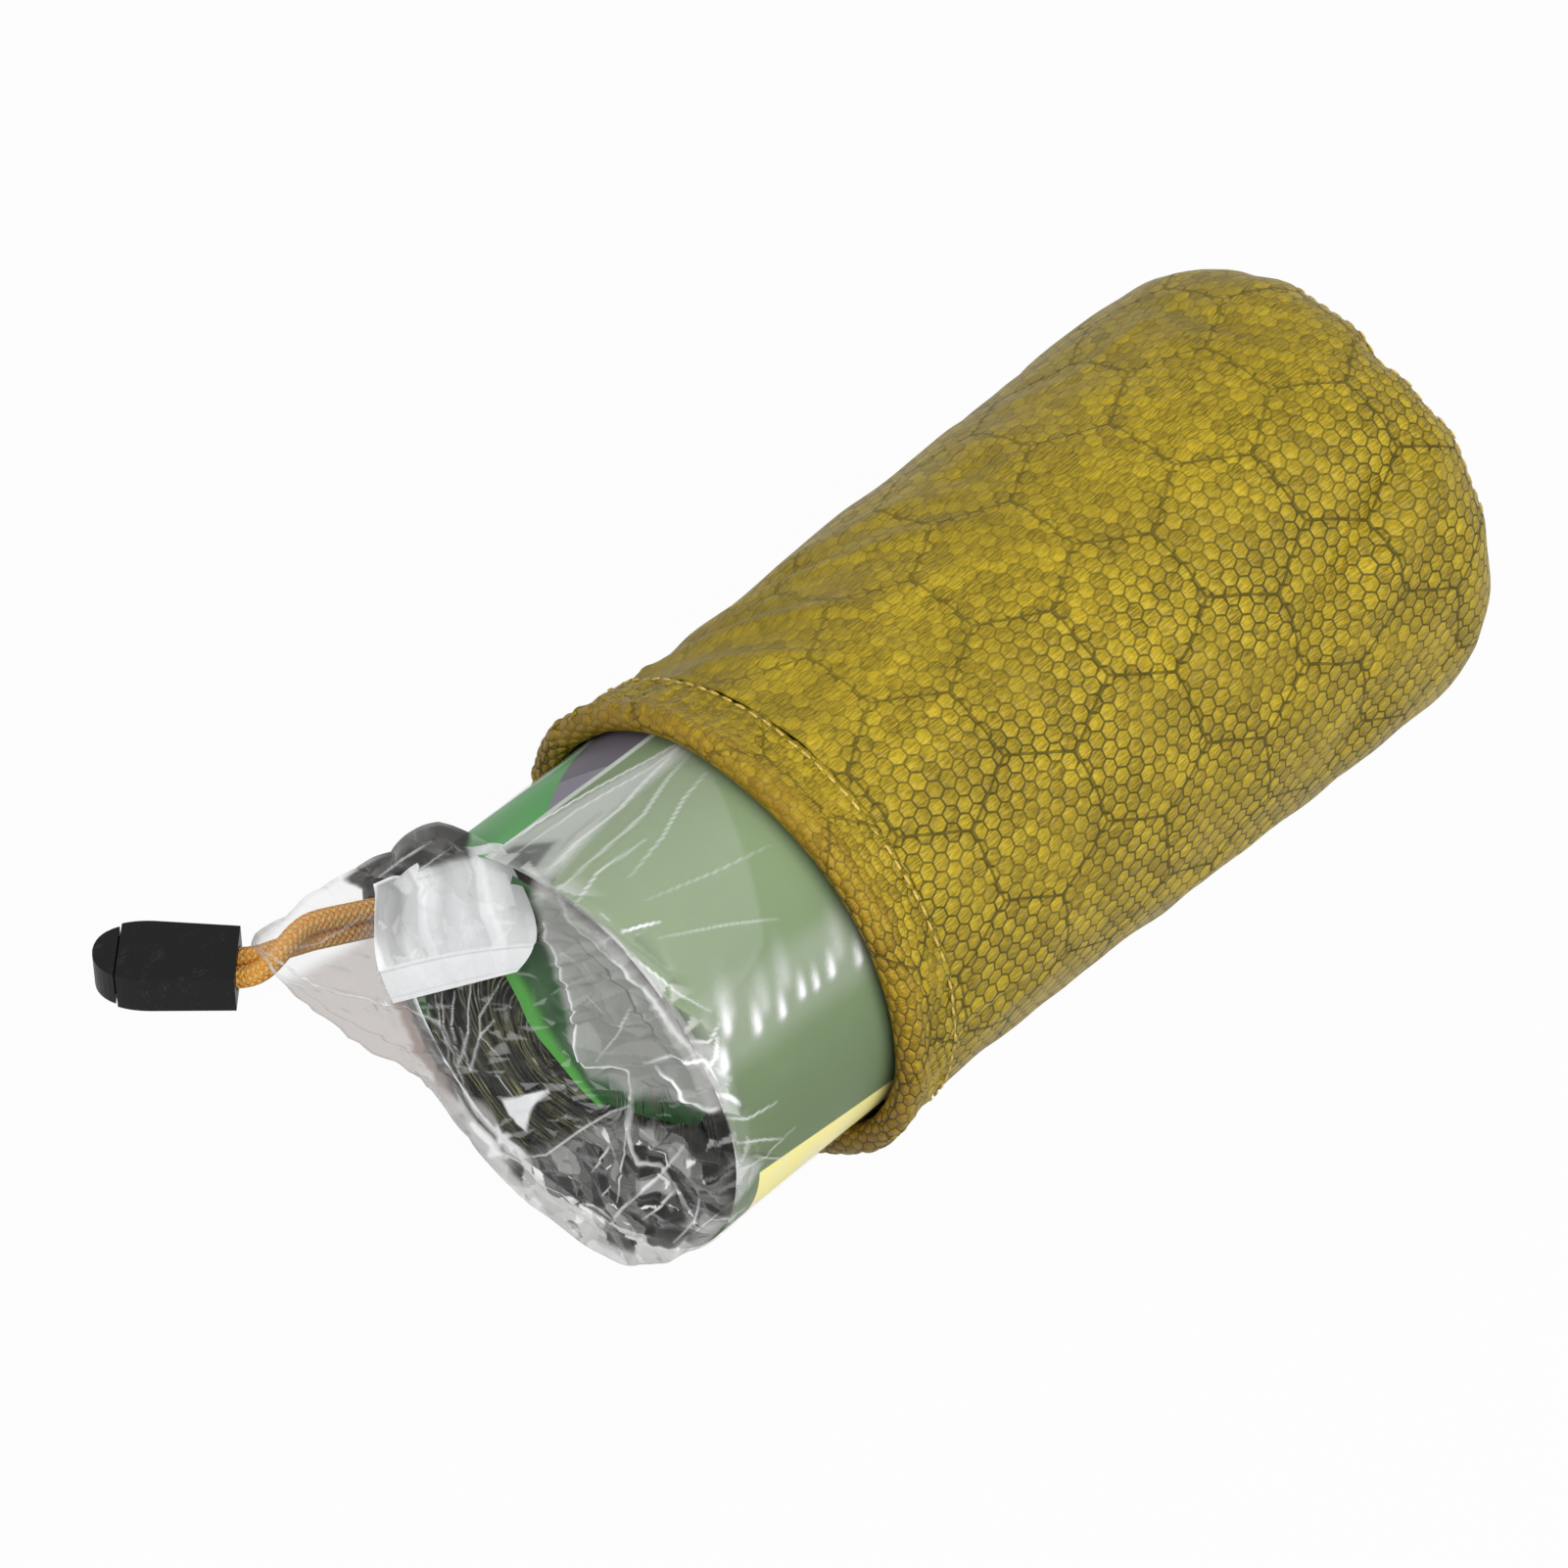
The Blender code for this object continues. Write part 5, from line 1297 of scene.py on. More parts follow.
FRONT_SHAPES = (
    # cover, tone, soft border, then the shape's corners across and up, in millimetres; shapes of
    # tone near 1 are painted highlights, those near 0 painted shade and dark reflections, the
    # others the film's own haze
    (0.42, 0.66, 1.2, (5.6, 36.6), (0.6, 28.6), (-4.1, 18.7), (-6, 8.4), (-8.8, 5.2), (-14, 7.7),
     (-17.9, 7.5), (-24, 12), (-33.6, 14), (-31, 19.5), (-24, 27.5), (-12, 34)),
    (0.2, 0.72, 1.2, (8.1, -28.5), (-6.6, -9), (-17.4, 1.4), (-30, 9), (-35, 4), (-34, -10),
     (-25, -25), (-14, -34), (0, -38), (14, -35)),
    (0.6, 0.76, 1.6, (26, -24), (19, -20.5), (12.5, -23), (5, -28), (-4, -30.6), (-12, -29),
     (-20, -24), (-27.5, -15), (-33, -13), (-24, -30), (-10, -38), (16, -36), (28, -30)),
    (0.82, 0.03, 0.9, (36.4, -8), (37.4, -12), (35.2, -16.1), (33.6, -21.5), (27.2, -27.4),
     (22.5, -27), (27.5, -19.5), (31.5, -10), (33, -3), (35, -3)),
    (0.92, 1, 0.5, (19.7, -29.3), (16.4, -25.4), (10, -26.1), (14, -29.5), (16.8, -34.1)),
    (0.95, 0.01, 0.7, (45.2, 7), (40.5, 16), (34.5, 25.5), (27.5, 33), (19.5, 37), (17.5, 32),
     (22, 28), (27, 23), (33, 17.5), (37, 13), (41, 7.5)),
    (0.85, 0.02, 1, (-18.6, -13), (-25.4, -10), (-26.5, -16), (-20.5, -22.2)),
    (0.95, 1, 0.5, (10.5, -15.8), (1.3, -6.3), (4.5, -13.8), (6.2, -20.2), (9.3, -18.8)),
    (0.8, 1, 0.6, (16.4, -30.3), (12.5, -23.7), (6.7, -27.1), (15.5, -34.2)),
    (0.8, 0.02, 0.7, (37, -5), (36.2, -12.2), (30.4, -17.5), (29.8, -22.2), (21, -26.5),
     (19, -26.1), (24, -19), (29.8, -13.8), (34.4, -9)),
)
CORD_UNDER_FILM = (
    (66.7, -25.2), (60, -12.6), (53, 1), (47, 11), (39, 22), (31, 31), (20, 39), (14, 32),
    (30, 15), (40, 1), (43.7, -6.7), (55.2, -21.1), (61.4, -28.5),
)
TUBE_LINES = (
    # width, cover, tone, rise, then the line's points: along in millimetres, angle; lines of tone
    # near 1 are painted highlights along creases, those of low tone painted shade
    (0.34, 0.9, 1, 0.25, (-106.5, 155), (-103.4, 155.4), (-98.3, 156), (-87.5, 159), (-72, 164.5)),
    (0.3, 0.45, 1, 0.2, (-105, 161), (-92, 162), (-80, 165.5), (-72, 166)),
    (0.45, 0.4, 1, 0.3, (-105, 173), (-96.9, 171), (-87.8, 170.9), (-78.1, 167.7), (-72, 166)),
    (0.4, 0.35, 1, 0.3, (-106.4, 179), (-97.9, 178), (-86.7, 176.8), (-78.1, 172.1), (-72, 170)),
    (0.3, 0.45, 1, 0.2, (-106.4, 185), (-100, 182), (-90, 182.5)),
    (0.3, 0.35, 1, 0.2, (-97, 188), (-88, 185), (-80, 180), (-74, 178)),
    (0.32, 0.95, 1, 0.3, (-104.9, 197.7), (-101.8, 199.4), (-98.8, 201.3)),
    (0.28, 0.45, 1, 0.2, (-106.4, 193.3), (-106, 205.5), (-104, 217.3), (-101.2, 225.3)),
    (0.25, 0.28, 1, 0.15, (-101, 204), (-90, 212), (-83, 218)),
    (0.25, 0.22, 1, 0.15, (-98, 195), (-86, 200), (-76, 203)),
    (0.3, 0.6, 1, 0.3, (-106.6, 228), (-104, 231), (-101, 229)),
    (0.45, 0.95, 1, 0.3, (-106.6, 236.5), (-104.2, 235), (-102.6, 231.5)),
    (0.55, 0.9, 1, 0.3, (-106.6, 243), (-104.6, 246), (-103.6, 249)),
    (0.3, 0.5, 1, 0.2, (-106.4, 250), (-103, 254), (-97, 256)),
    (0.3, 0.45, 1, 0.2, (-106, 258), (-101, 263), (-97, 268)),
    (0.3, 0.4, 0.9, 0.2, (-106, 268), (-100.7, 269.2), (-94, 268)),
    (0.25, 0.4, 1, 0.2, (-103, 266), (-98, 274), (-94, 280)),
    (0.35, 0.35, 0.15, 0.2, (-106, 262), (-102, 266), (-98, 273)),
    (0.35, 0.45, 0.15, 0.2, (-104, 171), (-96, 168.5), (-90, 168)),
    (0.3, 0.3, 0.15, 0.2, (-106, 190), (-105, 202), (-103, 214)),
)
TUBE_CRIMPS = (
    # along in millimetres, angle, reach, cover; each crimp is a dent with a painted highlight on
    # it, cover its strength
    (-100.2, 231.4, 1.5, 0.75), (-95.4, 235.8, 1.4, 0.8), (-90.4, 236.9, 1.2, 0.85),
    (-85.9, 236.1, 1.1, 0.85), (-83.1, 236.7, 1, 0.75), (-79.8, 236.5, 1.1, 0.8),
    (-74.5, 238.3, 1.3, 0.6), (-103.4, 238.5, 1.3, 0.8), (-92.6, 232.5, 2, 0.25),
    (-87.5, 230.5, 2.2, 0.22), (-98.5, 228.5, 2, 0.25), (-77, 233, 2.2, 0.2),
)
TUBE_SHAPES = (
    # cover, tone, soft border, then the shape's corners: along in millimetres, angle; pale shapes
    # give haze and painted sheen, the last one a broad painted sheen band, and the dark one is
    # painted shade
    (0.42, 0.9, 1.2, (-107, 155.5), (-98, 156.5), (-72, 164.5), (-72, 169), (-90, 170.5),
     (-107, 176)),
    (0.07, 1, 0.5, (-107, 173), (-107, 194), (-104, 217), (-101, 226), (-93, 224), (-87.4, 220.5),
     (-82, 206), (-73.8, 180), (-72, 168)),
    (0.08, 0.85, 1.5, (-107.5, 176), (-104.5, 190), (-105, 205), (-104.5, 222), (-102.5, 232),
     (-103, 250), (-103.5, 268), (-104.5, 290), (-107.5, 290)),
    (0.66, 0.12, 0.9, (-106.5, 157.5), (-102.7, 158), (-98.5, 166.5), (-104.3, 169.5),
     (-106.5, 168)),
    (0.2, 1, 0.8, (-71, 128), (-74, 135), (-78, 137), (-85, 135), (-96, 129), (-107, 125),
     (-107, 118), (-71, 118)),
    (0.45, 0.8, 0.8, (-107, 226), (-102.4, 235), (-103.8, 243), (-107, 247)),
    (0.35, 0.85, 0.9, (-107, 260), (-101, 271.5), (-104.5, 279), (-107, 281)),
    (0.1, 1, 2.5, (-71, 226), (-104, 222), (-106, 240), (-71, 243)),
)


def boundary_radius(angles):
    """Distance from the axis to the front's outline at angles round it."""
    outline = np.array(FRONT_OUTLINE) * MM
    edges = np.arctan2(outline[:, 0], -outline[:, 1])
    order = np.argsort(edges)
    edges = edges[order]
    radii = np.hypot(outline[:, 0], outline[:, 1])[order]
    around = np.concatenate([edges - math.tau, edges, edges + math.tau])
    return np.interp(angles, around, np.tile(radii, 3))


def film_front_mesh(sizes):
    """Crumpled film over the roll's end, drawn out into the ear, with its creases and its painted
    highlights and shade.
    """
    columns = sizes.film_around
    rows = sizes.film_rows
    angle = -math.pi + np.arange(columns) * math.tau / columns
    reach = boundary_radius(angle)
    under = ramp(angle, math.radians(-62), math.radians(-42))
    under = under * ramp(math.radians(95) - angle, 0, 0.3)
    reach = reach + 0.75 * MM * under * ripple(waves(63, 26, 22 * MM, 6 * MM, math.tau * 37 * MM),
                                               0.0, angle)
    share = (np.arange(1, rows + 1) / rows)[:, None] ** 0.9
    y = share * reach * np.sin(angle)
    z = -share * reach * np.cos(angle)
    radius = np.hypot(y, z)
    ear = ramp(reach, 37.5 * MM, 46 * MM)[None, :] + 0 * share
    outer = ramp(radius, 33.5 * MM, 37.5 * MM) * ear

    look = FilmLook(y, z, np.full(y.shape, 0.02), np.full(y.shape, 0.75))
    look.fill(FRONT_SHAPES, front_places)
    strip = inside_shape(y, z, front_places(CORD_UNDER_FILM), 1.5 * MM)
    look.lay(outer * (1 - 0.88 * strip), 0.54, 0.57)
    warm = outer * (1 - 0.9 * strip)
    turn = ramp(angle, math.radians(12), math.radians(28)) * ramp(
        math.radians(86) - angle, 0, 0.12)
    wander = ripple(waves(65, 20, 16 * MM, 4 * MM, math.tau * 36 * MM), 0.0, angle)
    # painted shade: a dark ring on the film over the card's rim
    ring = np.exp(-((radius - (32.3 + 0.5 * wander) * MM) / (1.25 * MM)) ** 2) * turn
    look.lay(ring, 0.90, 0.03)
    veil, pouch = (inside_shape(y, z, front_places(corners), 3 * MM)
                   for _, _, _, *corners in FRONT_SHAPES[:2])
    low, high = (-0.045, -0.045), (0.075, 0.060)
    large, _ = crumpled(y, z, 5, 7.5 * MM, low, high)
    small, facet = crumpled(y, z, 6, 4.2 * MM, low, high)
    _, spark = crumpled(y, z, 7, 1.8 * MM, low, high)
    turned = (y * math.cos(0.9) + z * math.sin(0.9), z * math.cos(0.9) - y * math.sin(0.9))
    drawn, streak = crumpled(turned[0] * 4.0, turned[1], 8, 5 * MM, (-0.3, -0.08),
                             (0.3, 0.08))
    relief = 1.5 * MM * large * (0.35 + 0.65 * pouch) + 0.8 * MM * small * (0.2 + pouch)
    relief = relief * (1 - 0.75 * outer) + 0.6 * MM * drawn * (0.3 + outer + veil)
    # pale and dark facets and bright sparks on the pouch and veil: painted highlights, painted
    # shade and dark reflections
    look.lay(pouch * (facet > 0.80), 0.16, 0.80)
    look.lay(pouch * (facet < 0.22), 0.35, 0.14)
    look.lay(pouch * (spark > 0.945), 0.85, 1.0)
    look.lay(pouch * (spark < 0.07), 0.80, 0.06)
    look.lay(veil * (streak > 0.72), 0.14, 0.9)
    look.lay(veil * (streak < 0.22), 0.14, 0.35)
    # dark and pale spots on the lower pouch: painted dark reflections and painted highlights
    spots = ripple(waves(61, 40, 14 * MM, 4.5 * MM, math.tau * 20 * MM), y, z / (20 * MM))
    lower = pouch * (1 - ramp(radius, 34 * MM, 36 * MM))
    look.lay(lower * ramp(spots, 0.10, 0.25), 0.80, 0.02)
    look.lay(lower * ramp(-spots, 0.75, 0.95), 0.28, 0.9)
    # pale pleat crests and dark pleat valleys along the margin: painted highlights and painted
    # shade
    margin = ramp(radius, 34.2 * MM, 35.6 * MM) * (1 - ear) * under[None, :]
    pleats = ripple(waves(64, 34, 16 * MM, 3 * MM, math.tau * 36 * MM), radius * 0.6,
                    angle[None, :])
    look.lay(margin * ramp(pleats, 0.35, 0.8), 0.70, 1.0)
    look.lay(margin * ramp(-pleats, 0.6, 1.0), 0.45, 0.25)
    open_part = (1 - outer) * (1 - pouch) * (1 - veil)
    # pale streaks on the open film: painted highlights
    look.lay(open_part * (streak > 0.88), 0.22, 0.9)
    lift = look.draw(FRONT_LINES, front_places, 0.62, 1.5, 0.7)

    crown = 2.2 * MM * (1 - np.clip(radius / FILM_OUTER, 0, 1) ** 4)
    forward = 0.8 * MM + crown + lift + relief
    tip = ramp(radius, 38 * MM, 62 * MM) * ear
    forward = forward * (1 - 0.45 * tip) + 2.0 * MM * tip
    wrap = ramp(share, 0.94, 1.0) * (1 - ear)
    forward = np.maximum(forward, 0.35 * MM)
    loose = under[None, :] * (1 - ear)
    forward = np.maximum(forward, 2.4 * MM * loose * ramp(share, 0.70, 0.96))
    wrap = wrap * (1 - loose)
    x = ROLL_FRONT_X - 0.2 * MM - forward * (1 - wrap) + 1.0 * MM * wrap
    edge = ramp(share, 0.978, 0.992) * (0.05 + 0.95 * ear)
    look.lay(edge, 0.55, 0.95)
    points = np.stack([x, y, AXIS_Z + z], -1)
    points[..., 2] = np.maximum(points[..., 2], 1.0 * MM)
    warm = warm * ramp(0.95 - look.tone, 0.0, 0.2)
    tube_edge = around_axis(ROLL_FRONT_X + 0.5 * MM, angle, FILM_OUTER - 0.05 * MM, PRESSED)
    back = points[-1] + (tube_edge.reshape(columns, 3) - points[-1]) * loose[-1][:, None]
    back[:, 0] += 0.02 * MM
    points = np.concatenate([points, back[None]])
    cover, tone, warm = (np.concatenate([mask, mask[-1:] * scale]) for mask, scale in
                         ((look.cover, 0.5), (look.tone, 1.0), (warm, 1.0)))
    mesh = grid_mesh("film_front_sheet", points, closed=True,
                     masks={"cover": cover, "tone": tone, "warm": warm})
    work = open_mesh(mesh)
    pole = close_end(work, work.verts[:columns], (float(x[0].mean()), 0.0, AXIS_Z), flip=True)
    for label, values in (("cover", cover), ("tone", tone)):
        pole[work.verts.layers.float[label]] = float(values[0].mean())
    close_mesh(work, mesh)
    if mesh.polygons[0].normal.x > 0:
        mesh.flip_normals()
    return mesh


def film_tube_mesh(sizes):
    """The film round the card, with its creases, wrinkles and a row of crimps, and painted
    highlights and shade on them.
    """
    columns = sizes.film_around
    length = ROLL_BACK_X - ROLL_FRONT_X - 0.2 * MM
    share = np.concatenate([np.linspace(0, 0.27, 96)[:-1], np.linspace(0.27, 1, 40)])[:, None]
    along = ROLL_FRONT_X + 0.1 * MM + length * share
    angle = (np.arange(columns) * math.tau / columns)[None, :]
    rim = math.tau * FILM_OUTER
    run = along + 0 * angle
    arc = angle * FILM_OUTER + 0 * along
    look = FilmLook(run, arc, np.full(run.shape, 0.02), np.full(run.shape, 0.9))
    look.fill(TUBE_SHAPES, tube_places)
    seen = ramp(angle, math.radians(148), math.radians(156))
    near = ramp(-run, -ROLL_FRONT_X - 6 * MM, -ROLL_FRONT_X) * seen
    _, facet = crumpled(run, arc, 15, 3.2 * MM, (-0.108, 0.0), (-0.094, rim))
    # pale and dark facets near the tube's front: painted highlights and painted shade
    look.lay(near * (facet > 0.75), 0.35, 0.95)
    look.lay(near * (facet < 0.15), 0.40, 0.15)
    lift = look.draw(TUBE_LINES, tube_places, 0.7, 1.2, 1.0)
    height = 0.10 * MM * ripple(waves(51, 24, 30 * MM, 8 * MM, rim), along * 1.6, angle)
    height += lift
    for place, turn, reach, strength in TUBE_CRIMPS:
        across = arc - math.radians(turn) * FILM_OUTER
        lengthwise = run - place * MM + 0.35 * across
        tail = np.where(across < 0, 2.4, 0.8) * reach * MM
        dent = np.exp(-(lengthwise / (0.72 * reach * MM)) ** 2 - (across / tail) ** 2)
        # painted highlight on each crimp's dent
        look.lay(dent ** 1.3, strength, 1.0)
        height += 0.35 * MM * dent
    radius = FILM_OUTER - 0.12 * MM + np.clip(height, -0.25 * MM, 0.45 * MM)
    points = around_axis(along, angle, radius, PRESSED)
    mesh = grid_mesh("film_tube_sheet", points, closed=True,
                     masks={"cover": look.cover, "tone": look.tone})
    mesh.flip_normals()
    return mesh


def film_flap_mesh():
    """The folded flap over the top of the front, pleated, with its thick lower hem, painted
    highlights on its pleat crests and facets and painted shade in its pleat valleys.
    """
    low_left = Vector((-0.0052, 31.3 * MM, -7.6 * MM))
    high_left = Vector((-0.0034, 36.0 * MM, 14.6 * MM))
    high_right = Vector((0.0030, 14.4 * MM, 33.6 * MM))
    low_right = Vector((-0.0050, 3.9 * MM, 20.2 * MM))
    rows, columns = 60, 110
    v = (np.arange(rows + 1) / rows)[:, None]
    u = (np.arange(columns + 1) / columns)[None, :]

    def spread(k):
        low = low_left[k] + (low_right[k] - low_left[k]) * u
        high = high_left[k] + (high_right[k] - high_left[k]) * u
        return low + (high - low) * v

    x, y, z = spread(0), spread(1), spread(2)
    bulge = np.sin(math.pi * np.minimum(1, v * 1.08)) * u ** 3
    y = y - 7.0 * MM * bulge
    z = z + 3.5 * MM * bulge + 0.6 * MM * np.sin(u * 17.0) * (v > 0.9) * u
    pleat = np.sin(u * 23 + 2.5 * np.sin(v * 2.2)) * np.sin(u * 8.3 + 1.0)
    folds, facet = crumpled(u * 0.034 + 0 * v, v * 0.023 + 0 * u, 25, 3.6 * MM, (0.0, 0.0),
                            (0.034, 0.023))
    bow = 1.7 * MM * np.sin(math.pi * np.minimum(1.0, v * 1.1))
    band = ramp(0.33 - v, 0.0, 0.012)
    x = x - bow - 0.55 * MM * pleat * (0.4 + 0.6 * v) * (1 - band)
    x = x - 0.6 * MM * folds * (1 - band) - 0.5 * MM * band * (1 - 0.5 * u)
    reach = np.hypot(y, z)
    keep = np.where(v > 0.88, np.maximum(1.0, (FILM_OUTER + 0.7 * MM) / reach), 1.0)
    thin = ramp(v, 0.35, 0.75) * np.maximum(ramp(0.34 - u, 0.0, 0.2), ramp(u, 0.80, 1.0))
    look = FilmLook(u, v, 0.74 - 0.30 * thin, 0.97 - 0.10 * thin)
    # painted highlights on the pleat crests and painted shade in their valleys
    look.lay(ramp(pleat, 0.35, 0.75), 0.60, 1.0)
    look.lay(ramp(-pleat, 0.35, 0.7) * (1 - u), 0.22, 0.45)
    rim = math.tau * 40 * MM
    grain = ripple(waves(27, 30, 60 * MM, 3.0 * MM, rim), v * 6 * MM, u * 0.55 + 0.35 * v)
    look.lay(ramp(grain, 0.5, 1.1), 0.45, 1.0)
    look.lay(ramp(-grain, 0.6, 1.2) * (0.3 + 0.7 * thin), 0.30, 0.40)
    # painted glints on some facets, and painted shade on dark facets at the left
    look.lay(1.0 * (facet > 0.86), 0.30, 1.0)
    look.lay(ramp(0.30 - u, 0.0, 0.2) * (facet < 0.25) * v, 0.50, 0.08)
    look.lay(band, 0.90 - 0.35 * u ** 2, 1.0)
    seam = np.exp(-((v - 0.30) / 0.008) ** 2) + np.exp(-((v - 0.055) / 0.007) ** 2)
    look.lay(np.clip(seam, 0, 1), 0.55, 0.62)
    border = np.maximum(ramp(0.02 - v, 0.0, 0.01), ramp(v - 0.975, 0.0, 0.01))
    look.lay(border, 0.7, 1.0)
    points = np.stack([ROLL_FRONT_X + x, y * keep, AXIS_Z + z * keep], -1)
    return grid_mesh("film_flap_sheet", points, masks={"cover": look.cover, "tone": look.tone})


def inner_fold_mesh():
    """The bag's green inside where the end of the roll opens: a lens-shaped hollow fold."""
    inner = ((12.6, 22.0), (12.1, 13.9), (10.8, 11.2), (8.6, 7.8), (6.5, 4.2), (3.5, 1.6),
             (0.4, -0.3), (-4.7, -2.9), (-8.8, -4.0))
    outer = ((9.5, 33.0), (-2.1, 34.3), (-13.0, 31.9), (-21.2, 27.1), (-28.2, 19.8),
             (-31.3, 14.0), (-28.0, 6.0), (-18.0, 0.0), (-8.8, -4.0))
    rows, columns = 60, 30
    spots = np.linspace(0, 1, len(inner))
    v = np.linspace(0, 1, rows + 1)
    first = np.stack([np.interp(v, spots, [p[k] for p in inner]) for k in (0, 1)], -1)
    second = np.stack([np.interp(v, spots, [p[k] for p in outer]) for k in (0, 1)], -1)
    u = np.linspace(0, 1, columns + 1)[None, :, None]
    flat = first[:, None, :] * (1 - u) + second[:, None, :] * u
    u = u[..., 0]
    sway = 0.25 * np.sin(v[:, None] * 19) * (1 - u)
    depth = 0.5 * u + 0.4 * np.sin(math.pi * u) - 0.7 * np.exp(-(u / 0.06) ** 2)
    x = ROLL_FRONT_X - 0.5 * MM + (depth + sway * 0.3) * MM
    points = np.stack([x, flat[..., 0] * MM, AXIS_Z + flat[..., 1] * MM], -1)
    # rim marks the folded edge, where the inside material paints a highlight
    rim = np.exp(-((u + 0 * v[:, None]) / 0.09) ** 2)
    mesh = grid_mesh("inner_fold", points, masks={"rim": rim})
    if mesh.polygons[0].normal.x > 0:
        mesh.flip_normals()
    return mesh


# Settings

def color(name, text, value):
    """A colour setting."""
    return bpy.props.FloatVectorProperty(name=name, description=text, default=value, size=3,
                                         subtype="COLOR", min=0.0, max=1.0)


class SleepingBagSizes(bpy.types.PropertyGroup):
    """Counts and sizes that a user would change."""

    rows: bpy.props.IntProperty(
        name="Cloth rows", description="Rows of faces along the sack's side", default=130)
    around: bpy.props.IntProperty(
        name="Cloth columns", description="Columns of faces round the sack", default=256)
    film_around: bpy.props.IntProperty(
        name="Film columns", description="Columns of faces round the film", default=560)
    film_rows: bpy.props.IntProperty(
        name="Film rows", description="Rings of faces on the film front", default=150)
    cloth_thickness: bpy.props.FloatProperty(
        name="Cloth thickness", description="Thickness of the sack's cloth",
        default=0.35 * MM, unit="LENGTH", precision=5)
    roll_turns: bpy.props.FloatProperty(
        name="Roll turns", description="Turns of the rolled sleeping bag", default=7.1)
    roll_layers: bpy.props.IntProperty(
        name="Roll layers", description="Layers in each turn of the roll", default=4)
    stitch_spacing: bpy.props.FloatProperty(
        name="Stitch spacing", description="Distance from one stitch to the next",
        default=2.7 * MM, unit="LENGTH", precision=5)


class SleepingBagColors(bpy.types.PropertyGroup):
    """Colours and pattern sizes of the finishes."""

    cell_pitch: bpy.props.FloatProperty(
        name="Cell pitch", description="Width of the ripstop's small cells",
        default=2.875 * MM, unit="LENGTH", precision=6)
    cloth_dark: color("Cloth dark", "Cloth in its darker yarns", (0.108, 0.075, 0.003))
    cloth_light: color("Cloth light", "Cloth in its lighter yarns", (0.50, 0.364, 0.018))
    cloth_deep: color("Cloth deep", "Cloth in its duller patches", (0.200, 0.144, 0.009))
    line: color("Ripstop lines", "Lines between the cells", (0.050, 0.040, 0.005))
    rim: color("Hem rim", "Tint of the hem's rolled edge", (0.27, 0.135, 0.010))
    thread: color("Thread", "Sewing thread", (0.66, 0.48, 0.12))
    # painted shade between the thread's plies
    thread_ply_shade: color("Thread shade", "Sewing thread between its plies", (0.40, 0.27, 0.05))
    # painted reflections of the foil: dark in its folds, gold where it catches light
    foil_dark_reflection: color("Foil dark", "Metallised film in its folds", (0.006, 0.007, 0.005))
    foil_gold: color("Foil gold", "Metallised film where it catches light",
                     (0.105, 0.100, 0.045))
    print_green: color("Inner green", "Green inside of the rolled bag", (0.008, 0.100, 0.008))
    # the darker ground is painted shade on the card's lower side
    card_shaded: color("Card ground", "Printed card's ground", (0.128, 0.184, 0.088))
    card_light: color("Card ground light", "Printed card's lighter ground",
                      (0.208, 0.282, 0.148))
    panel_green: color("Panel green", "Picture panel's green", (0.045, 0.30, 0.055))
    panel_light: color("Panel light", "Picture panel's pale green", (0.16, 0.46, 0.16))
    panel_violet: color("Panel violet", "Picture panel's violet grey", (0.24, 0.22, 0.28))
    panel_shade: color("Panel shade", "Picture panel's dark violet", (0.13, 0.115, 0.15))
    band_yellow: color("Band yellow", "Yellow band of the card", (0.95, 0.86, 0.33))
    cord_orange: color("Cord orange", "Darker strands of the cord", (1.00, 0.40, 0.060))
    cord_yellow: color("Cord yellow", "Lighter strands of the cord", (1.00, 0.60, 0.160))
    # painted shade between the cord's strands
    cord_gap_shade: color("Cord deep", "Cord between its strands", (0.95, 0.25, 0.028))
    plastic: color("Plastic", "Black plastic", (0.0045, 0.0045, 0.005))


# Operators

